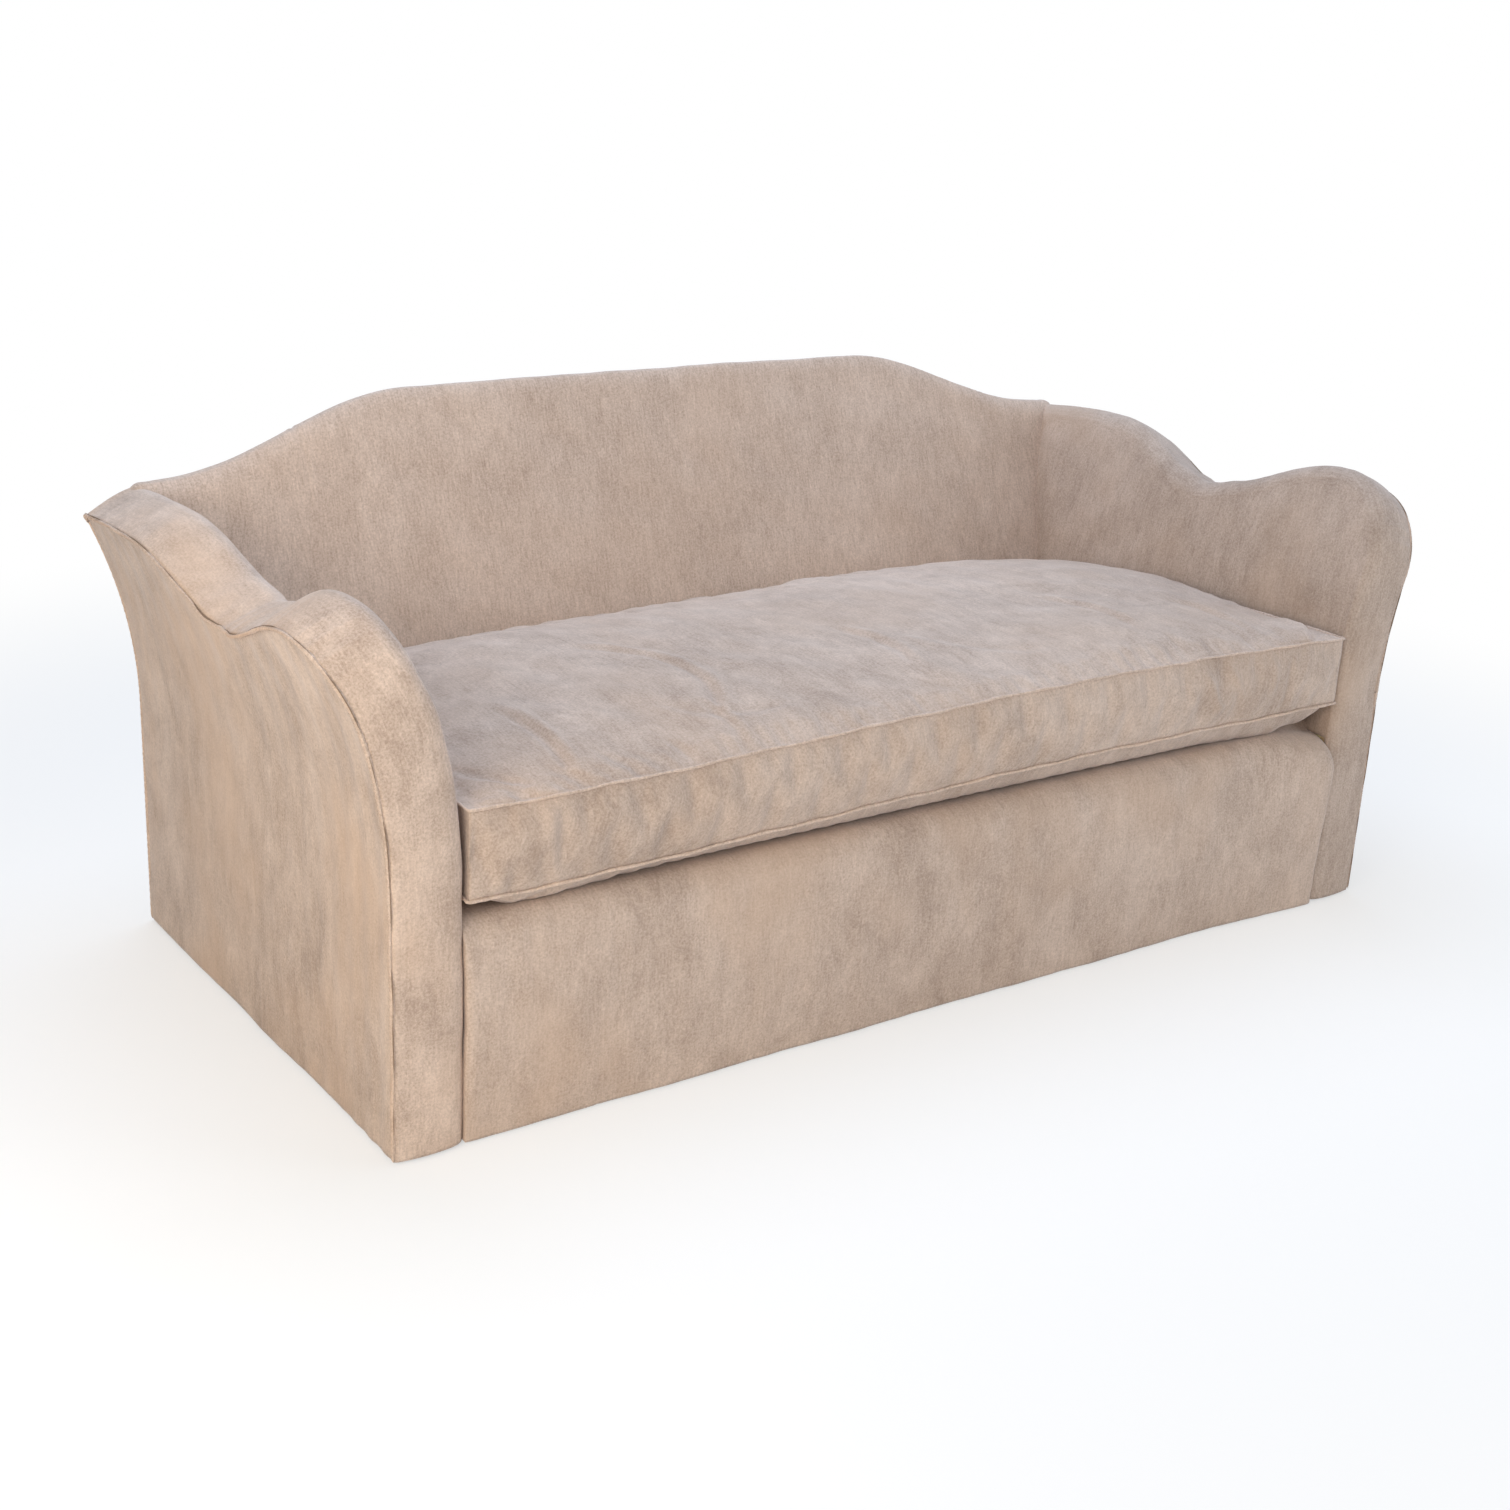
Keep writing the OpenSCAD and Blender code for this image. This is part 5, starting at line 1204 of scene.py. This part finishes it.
ears = (  # folds in the top at its front corners: foot x, foot y, head x, head y, height, width
    (0.79, 0.084, 0.71, 0.004, 0.0050, 0.010), (0.74, 0.110, 0.66, 0.010, 0.0024, 0.009),
    (-0.77, 0.070, -0.70, 0.006, 0.0030, 0.010),
)
fuzz = {  # the cushion's small forms, and how far from a seam each begins
    "lumps": ((0.0032, 82, 0.16, 0.42), (0.0013, 83, 0.05, 0.12)), "inner": 0.05, "earFrom": 0.012,
    "pucker": 0.0015, "gather": (0.034, 2, 13), "puckerReach": 0.035, "puckerStart": 0.006, "puckerShare": (9, 1),
    "lowest": 0.0020, "lowestFrom": 0.01, "lowPuckerFrom": 0.319,
    "side": ((1, 81, 0.03, 0.09),), "sideHigh": 0.0012, "sideLeast": -0.6, "sidePower": 0.6,
}


def cushionOutwards(side):
    # up, down, and away from the cushion's upright middle plane
    up = np.array([0, 0, 1.0])
    return [up, -up, (side - np.array([0, side[..., 1].mean(), 0])) * np.array([1, 1, 0])]


def cushionSwell(ring):
    # how far each point of the top, the bottom and the side moves out, simulated on a net of half as many rows
    grids = sewnNet(1)[2]
    count = grids[0].shape[0] * grids[0].shape[1]
    rim = ringOf(np.arange(count).reshape(grids[0].shape[:2] + (1,)))[:, 0]
    ways = [doubled(way) for way in puffed(grids, cushionOutwards(grids[2]), np.concatenate([rim, rim + count]))]
    ways[1] = ways[1] * np.array([1, 1, cushion["lowSwell"]])
    moving = (ring[:, 1] < samePlace) & (np.abs(ring[:, 0]) < cushion["heldFrom"])
    ways[2] = ways[2] * np.append(moving, False)[None, :, None]
    return ways


def creased(a, b, shapes, ways, inFront, share):
    # the swollen grids with their lumps, puckers, creases and folds, kept inside the cushion's box
    top, low, side = shapes
    long = a * cushion["halfLong"]
    edge = np.minimum((1 - np.abs(a)) * cushion["halfLong"], np.minimum(b, 1 - b) * cushion["span"])
    inner = soft(edge / fuzz["inner"])
    pitch, sway, turn = fuzz["gather"]
    rate, start = fuzz["puckerShare"]
    pucker = (fuzz["pucker"] * gathered(long, (pitch, sway, turn / cushion["halfLong"]))
              * besideEdge(edge, fuzz["puckerReach"], fuzz["puckerStart"]) * (1 + np.sin(a * rate + start) ** 2) / 2)
    fromFront = top[..., 1] - sofa["frontY"]
    ear = foldHeight(top[..., 0], fromFront, ears)
    seenTop, seenLow, seenSide = (grid + way for grid, way in zip(shapes, ways))
    seenTop[..., 2] += (rippled(top, *fuzz["lumps"]) * inner + pucker + ear * soft(edge / fuzz["earFrom"])
                        + creaseDepth(top[..., 0], fromFront) * inner)
    lowest = top[..., 2] - fuzz["lowest"] * soft(edge / fuzz["lowestFrom"])
    seenTop[..., 2] = np.maximum(seenTop[..., 2], lowest)
    lowPucker = np.where(low[..., 2] > fuzz["lowPuckerFrom"], pucker, 0)
    seenLow[..., 2] = np.maximum(seenLow[..., 2] + lowPucker, cushion["bottom"])
    for grid in (seenTop, seenLow, seenSide):
        grid[..., 0] = np.clip(grid[..., 0], -cushion["widest"], cushion["widest"])
        grid[..., 1] = np.maximum(grid[..., 1], cushion["foremost"])
    fold = (foldHeight(side[..., 0], side[..., 2], sideFolds)
            + fuzz["sideHigh"] * np.maximum(fuzz["sideLeast"], rippled(side, *fuzz["side"])))
    seenSide[..., 1] -= fold * inFront * np.sin(np.pi * share) ** fuzz["sidePower"]
    for grid, rest in ((seenTop, top), (seenLow, low)):
        grid[[0, -1]], grid[:, [0, -1]] = rest[[0, -1]], rest[:, [0, -1]]  # the seams stay where they are sewn
    seenSide[0], seenSide[-1] = side[0], side[-1]
    return seenTop, seenLow, seenSide


def makeCushion():
    # the cover's three grids, the filling a little inside them, and a ridge along both seams
    a, b, shapes, out, ring, share = sewnNet(2)
    top, low, side = shapes
    outwards = cushionOutwards(side)
    ways = cushionSwell(ring)
    inFront = ring[:, 1] < samePlace
    seen = creased(a, b, shapes, ways, np.append(inFront, inFront[:1]), share)
    covers = (("cushion_top", "cushion_top_panel", top[..., :2]),
              ("cushion_bottom", "cushion_bottom_panel", top[..., :2]), ("cushion_side_band", "cushion_boxing", None))
    for (name, node, uv), grid, outward in zip(covers, seen, outwards):
        piece = dress(clothPiece(name, [(grid, outward, uv)]), "velvetCushionPaintedCoolLight", "velvet_cushion", "seat_cushion", node)
    core = np.array([0, side[..., 1].mean(), (cushion["lowSeam"] + cushion["topSeam"]) / 2])
    shrunk = [(core + (grid - core) * cushion["fillShare"], outward, None) for grid, outward in zip(seen, outwards)]
    piece = dress(clothPiece("cushion_filling", shrunk), "ticking", "feather_fill", "seat_cushion", "cushion_core")
    upright = np.tile((0.0, 0.0, 1.0), (len(out), 1))
    for label, seam in (("top", ringOf(top)), ("bottom", ringOf(low))):
        path = seam + out * cushion["seamOut"]
        radius = cushion["seam"] * beating(lengthOf(path), cushion["beats"])
        piece = tubePiece(f"cushion_{label}_seam", path, out, upright, radius, closed=True)
        dress(piece, "velvetSeamPaintedHighlight", "velvet_seam", "seat_cushion", f"cushion_{label}_welt")


makeCushion()
print("cushion sewn")

zipper = {
    "long": 0.620, "wide": 0.024, "high": 0.4155, "lift": 0.0003, "thick": 0.0012, "under": 0.0005,
    "tooth": 0.0024, "toothSteps": 4, "toothPower": 0.5, "teethWide": 0.0052, "toothHigh": 0.0007,
    "edgeCols": 4, "teethCols": 7,
}
slider = {
    "body": (0.014, 0.009, 0.0026), "bodyWide": 0.85, "steps": 25, "sides": 20, "square": 0.5, "taper": 0.18,
    "endPower": 4, "least": 0.02, "seen": 5,
    "tab": (0.023, 0.0045, 0.0013), "tabEnd": 0.022, "tabStart": 0.001, "tabSides": 48, "tabSquare": (0.45, 0.7),
    "bevel": 0.0004, "bevelHigh": 0.2, "eyeAt": 0.45, "eye": (0.0032, 0.0011),
}


def onRear(x, v, h):
    # x along the zip, v up the rear band, h out of it, on the leaning plane between the cushion's two rear seams
    rise = cushion["topSeam"] - cushion["lowSeam"]
    lean = math.atan2(float(inY(cushion["topSeam"]) - inY(cushion["lowSeam"])), rise)
    foot = float(inY(zipper["high"])) - cushion["backGap"]
    return placed(stitched(x, foot + v * math.sin(lean) + h * math.cos(lean),
                           zipper["high"] + v * math.cos(lean) - h * math.sin(lean)))


def makeZip():
    # a flat tape with a raised row of teeth, one half wave for each tooth
    count = int(zipper["long"] / zipper["tooth"]) * zipper["toothSteps"] + 1
    x = np.linspace(-zipper["long"] / 2, zipper["long"] / 2, count)[None, :]
    half, teeth = zipper["wide"] / 2, zipper["teethWide"] / 2
    v = np.concatenate([np.linspace(-half, -teeth, zipper["edgeCols"]),
                        np.linspace(-teeth, teeth, zipper["teethCols"])[1:-1],
                        np.linspace(teeth, half, zipper["edgeCols"])])[:, None]
    inTeeth = np.abs(v) < teeth - samePlace
    wave = np.abs(np.sin(np.pi * x / zipper["tooth"] + (v > 0) * np.pi / 2)) ** zipper["toothPower"]
    face = zipper["lift"] + zipper["thick"] - zipper["under"]
    upper = onRear(x, v, face + zipper["toothHigh"] * wave * inTeeth)
    piece = slabPiece("zip_tape", upper, onRear(x, v, zipper["lift"] + 0 * x), np.array([0, 1, 0]))
    dress(piece, "zipTape", "zip_tape", "seat_cushion", "cushion_zip")


def squared(wave, power):
    # the wave pushed out towards a square one, its sign kept
    return np.sign(wave) * np.abs(wave) ** power


def makeSliderBody(start, base):
    # a round section squared a little and narrowed to one end, with flat caps
    long, wide, high = slider["body"]
    steps, sides, seen = slider["steps"], slider["sides"], slider["seen"]
    t = np.linspace(-1, 1, steps)[:, None]
    a = (np.arange(sides) * 2 * np.pi / sides)[None, :]
    girth = np.maximum(slider["least"], 1 - np.abs(t) ** slider["endPower"]) ** 0.5 * (1 - slider["taper"] * t)
    rings = onRear(start + t * long / 2 + 0 * a,
                   girth * wide / 2 * slider["bodyWide"] * squared(np.cos(a), slider["square"]),
                   base + high / 2 + girth ** 0.5 * high / 2 * squared(np.sin(a), slider["square"]))
    plain = gridQuads(steps, sides, roundCols=True)
    quads = wound(plain, rings[1, seen], rings[2, seen], rings[1, seen + 1], rings[1, seen] - rings[1].mean(axis=0))
    caps = np.stack([np.array([k, k + 1, sides - 2 - k, sides - 1 - k]) for k in range(sides // 2 - 1)])
    first, last = (caps[:, ::-1], caps) if np.array_equal(quads, plain) else (caps, caps[:, ::-1])
    faces = np.concatenate([quads, first, last + (steps - 1) * sides])
    piece = makeMesh("zip_slider_body", rings, faces, np.zeros((steps * sides, 2)))
    dress(piece, "zipMetal", "zip_metal", "zip_pull", "zip_slider")


def makeSliderTab(start, level):
    # a flat rounded tongue with bevelled edges and an eye
    long, wide, thick = slider["tab"]
    u = np.linspace(0, 2 * np.pi, slider["tabSides"] + 1)[:-1][None, :]
    middle = (start - slider["tabEnd"] + start + slider["tabStart"]) / 2
    roundEnds, roundSides = slider["tabSquare"]
    eyeLong, eyeWide = slider["eye"]
    edge, face = ((middle + (long / 2 - grow) * squared(np.cos(u), roundEnds),
                   (wide / 2 - grow) * squared(np.sin(u), roundSides)) for grow in (0, slider["bevel"]))
    eye = (middle - long / 2 * slider["eyeAt"] + eyeLong * np.cos(u), eyeWide * np.sin(u))
    high = slider["bevelHigh"]
    loops = [(face, 0.5), (edge, high), (edge, -high), (face, -0.5), (eye, -0.5), (eye, 0.5)]
    rings = np.concatenate([onRear(x, v, level + part * thick) for (x, v), part in loops])
    quads = wound(gridQuads(len(loops), u.size, roundCols=True, roundRows=True), rings[1, 0], rings[2, 0], rings[1, 1],
                  rings[1, 0] - rings[1].mean(axis=0))
    piece = makeMesh("zip_tab", rings, quads, np.zeros((rings.size // 3, 2)))
    dress(piece, "zipMetal", "zip_metal", "zip_pull")


def makeSlider():
    # the body rides on the tape's lower end, the tab hangs from the body's middle
    start, base = -zipper["long"] / 2, 2 * zipper["lift"] + zipper["thick"]
    makeSliderBody(start, base)
    makeSliderTab(start, base + slider["body"][2] / 2)


makeZip()
makeSlider()
print("zip set in")

stage = {
    "floorHalf": 14.0, "floorColour": (0.97, 0.945, 0.895, 1), "shadow": 0.45, "fadeFrom": 1.3, "fadeTo": 2.6,
    "sky": (0.90, 0.94, 1.0, 1), "skyLight": 0.24, "white": (1, 1, 1, 1),
}


def makeStage():
    # a white floor that keeps the shadow near the sofa, and a white world behind it
    half = stage["floorHalf"]
    corners = np.array([[-half, -half, 0], [half, -half, 0], [half, half, 0], [-half, half, 0]])
    floor = makeMesh("floor", corners, np.array([[0, 1, 2, 3]]))
    nodes = Nodes(bpy.data.materials.new("paleFloor"))
    away = nodes.add("VectorMath", {"operation": "LENGTH"}, {0: nodes.objectPlace()}, "Value")
    seen = nodes.add("LightPath", {}, {}, "Is Camera Ray")
    white = nodes.between(away, stage["fadeFrom"], stage["fadeTo"])
    glow = seen * (white + (1 - white) * (1 - stage["shadow"]))
    cloth = nodes.add("BsdfDiffuse", {}, {"Color": stage["floorColour"]})
    paper = nodes.add("Emission", {}, {"Color": stage["white"], "Strength": 1.0})
    nodes.add("OutputMaterial", {}, {"Surface": nodes.add("MixShader", {}, {0: glow, 1: cloth, 2: paper})})
    floor.data.materials.append(nodes.owner)
    world = bpy.data.worlds.new("studio")
    bpy.context.scene.world = world
    nodes = Nodes(world)
    rays = [nodes.add("LightPath", {}, {}, f"Is {kind} Ray") for kind in ("Camera", "Glossy", "Transmission")]
    seen = nodes.add("Clamp", {}, {0: rays[0] + rays[1] + rays[2]})
    sky = nodes.add("Background", {}, {"Color": stage["sky"], "Strength": stage["skyLight"]})
    paper = nodes.add("Background", {}, {"Color": stage["white"], "Strength": 1.0})
    nodes.add("OutputWorld", {}, {"Surface": nodes.add("MixShader", {}, {0: seen, 1: sky, 2: paper})})


lamps = {  # place, aim, size, watts, colour
    "key": ((-3.1, -2.5, 2.2), (0, 0, 0.3), 2.4, 44, (1.0, 0.98, 0.95)),
    "side": ((-2.3, -1.0, 1.1), (-0.9, 0, 0.4), 1.4, 16, (1.0, 0.88, 0.72)),
    "fill": ((3.0, -3.0, 1.8), (0, 0, 0.4), 2.8, 60, (0.84, 0.91, 1.0)),
    "front": ((-0.6, -3.4, 1.2), (-0.2, 0, 0.3), 2.4, 9, (1.0, 0.92, 0.92)),
    "sky": ((0.3, 0.9, 3.6), (0.3, 0, 0.4), 3.5, 110, (0.62, 0.76, 1.0)),
}


offUpright = (0.01, 0.02, 1.0)  # close to upright, yet never along a lamp's line


def hangLamps():
    # round lamps, each turned from its place towards its aim
    for name, (place, aim, size, watts, tint) in lamps.items():
        light = bpy.data.lights.new(name, "AREA")
        light.shape, light.size, light.energy, light.color = "DISK", size, watts, tint
        lamp = bpy.data.objects.new(name, light)
        bpy.context.scene.collection.objects.link(lamp)
        ahead = np.array(aim, float) - np.array(place)
        ahead /= np.linalg.norm(ahead)
        side = np.cross(ahead, offUpright)
        side /= np.linalg.norm(side)
        lamp.matrix_world = standing(side, np.cross(side, ahead), -ahead, place)


makeStage()
hangLamps()
bpy.context.scene.view_settings.view_transform = "Standard"
print("stage lit")
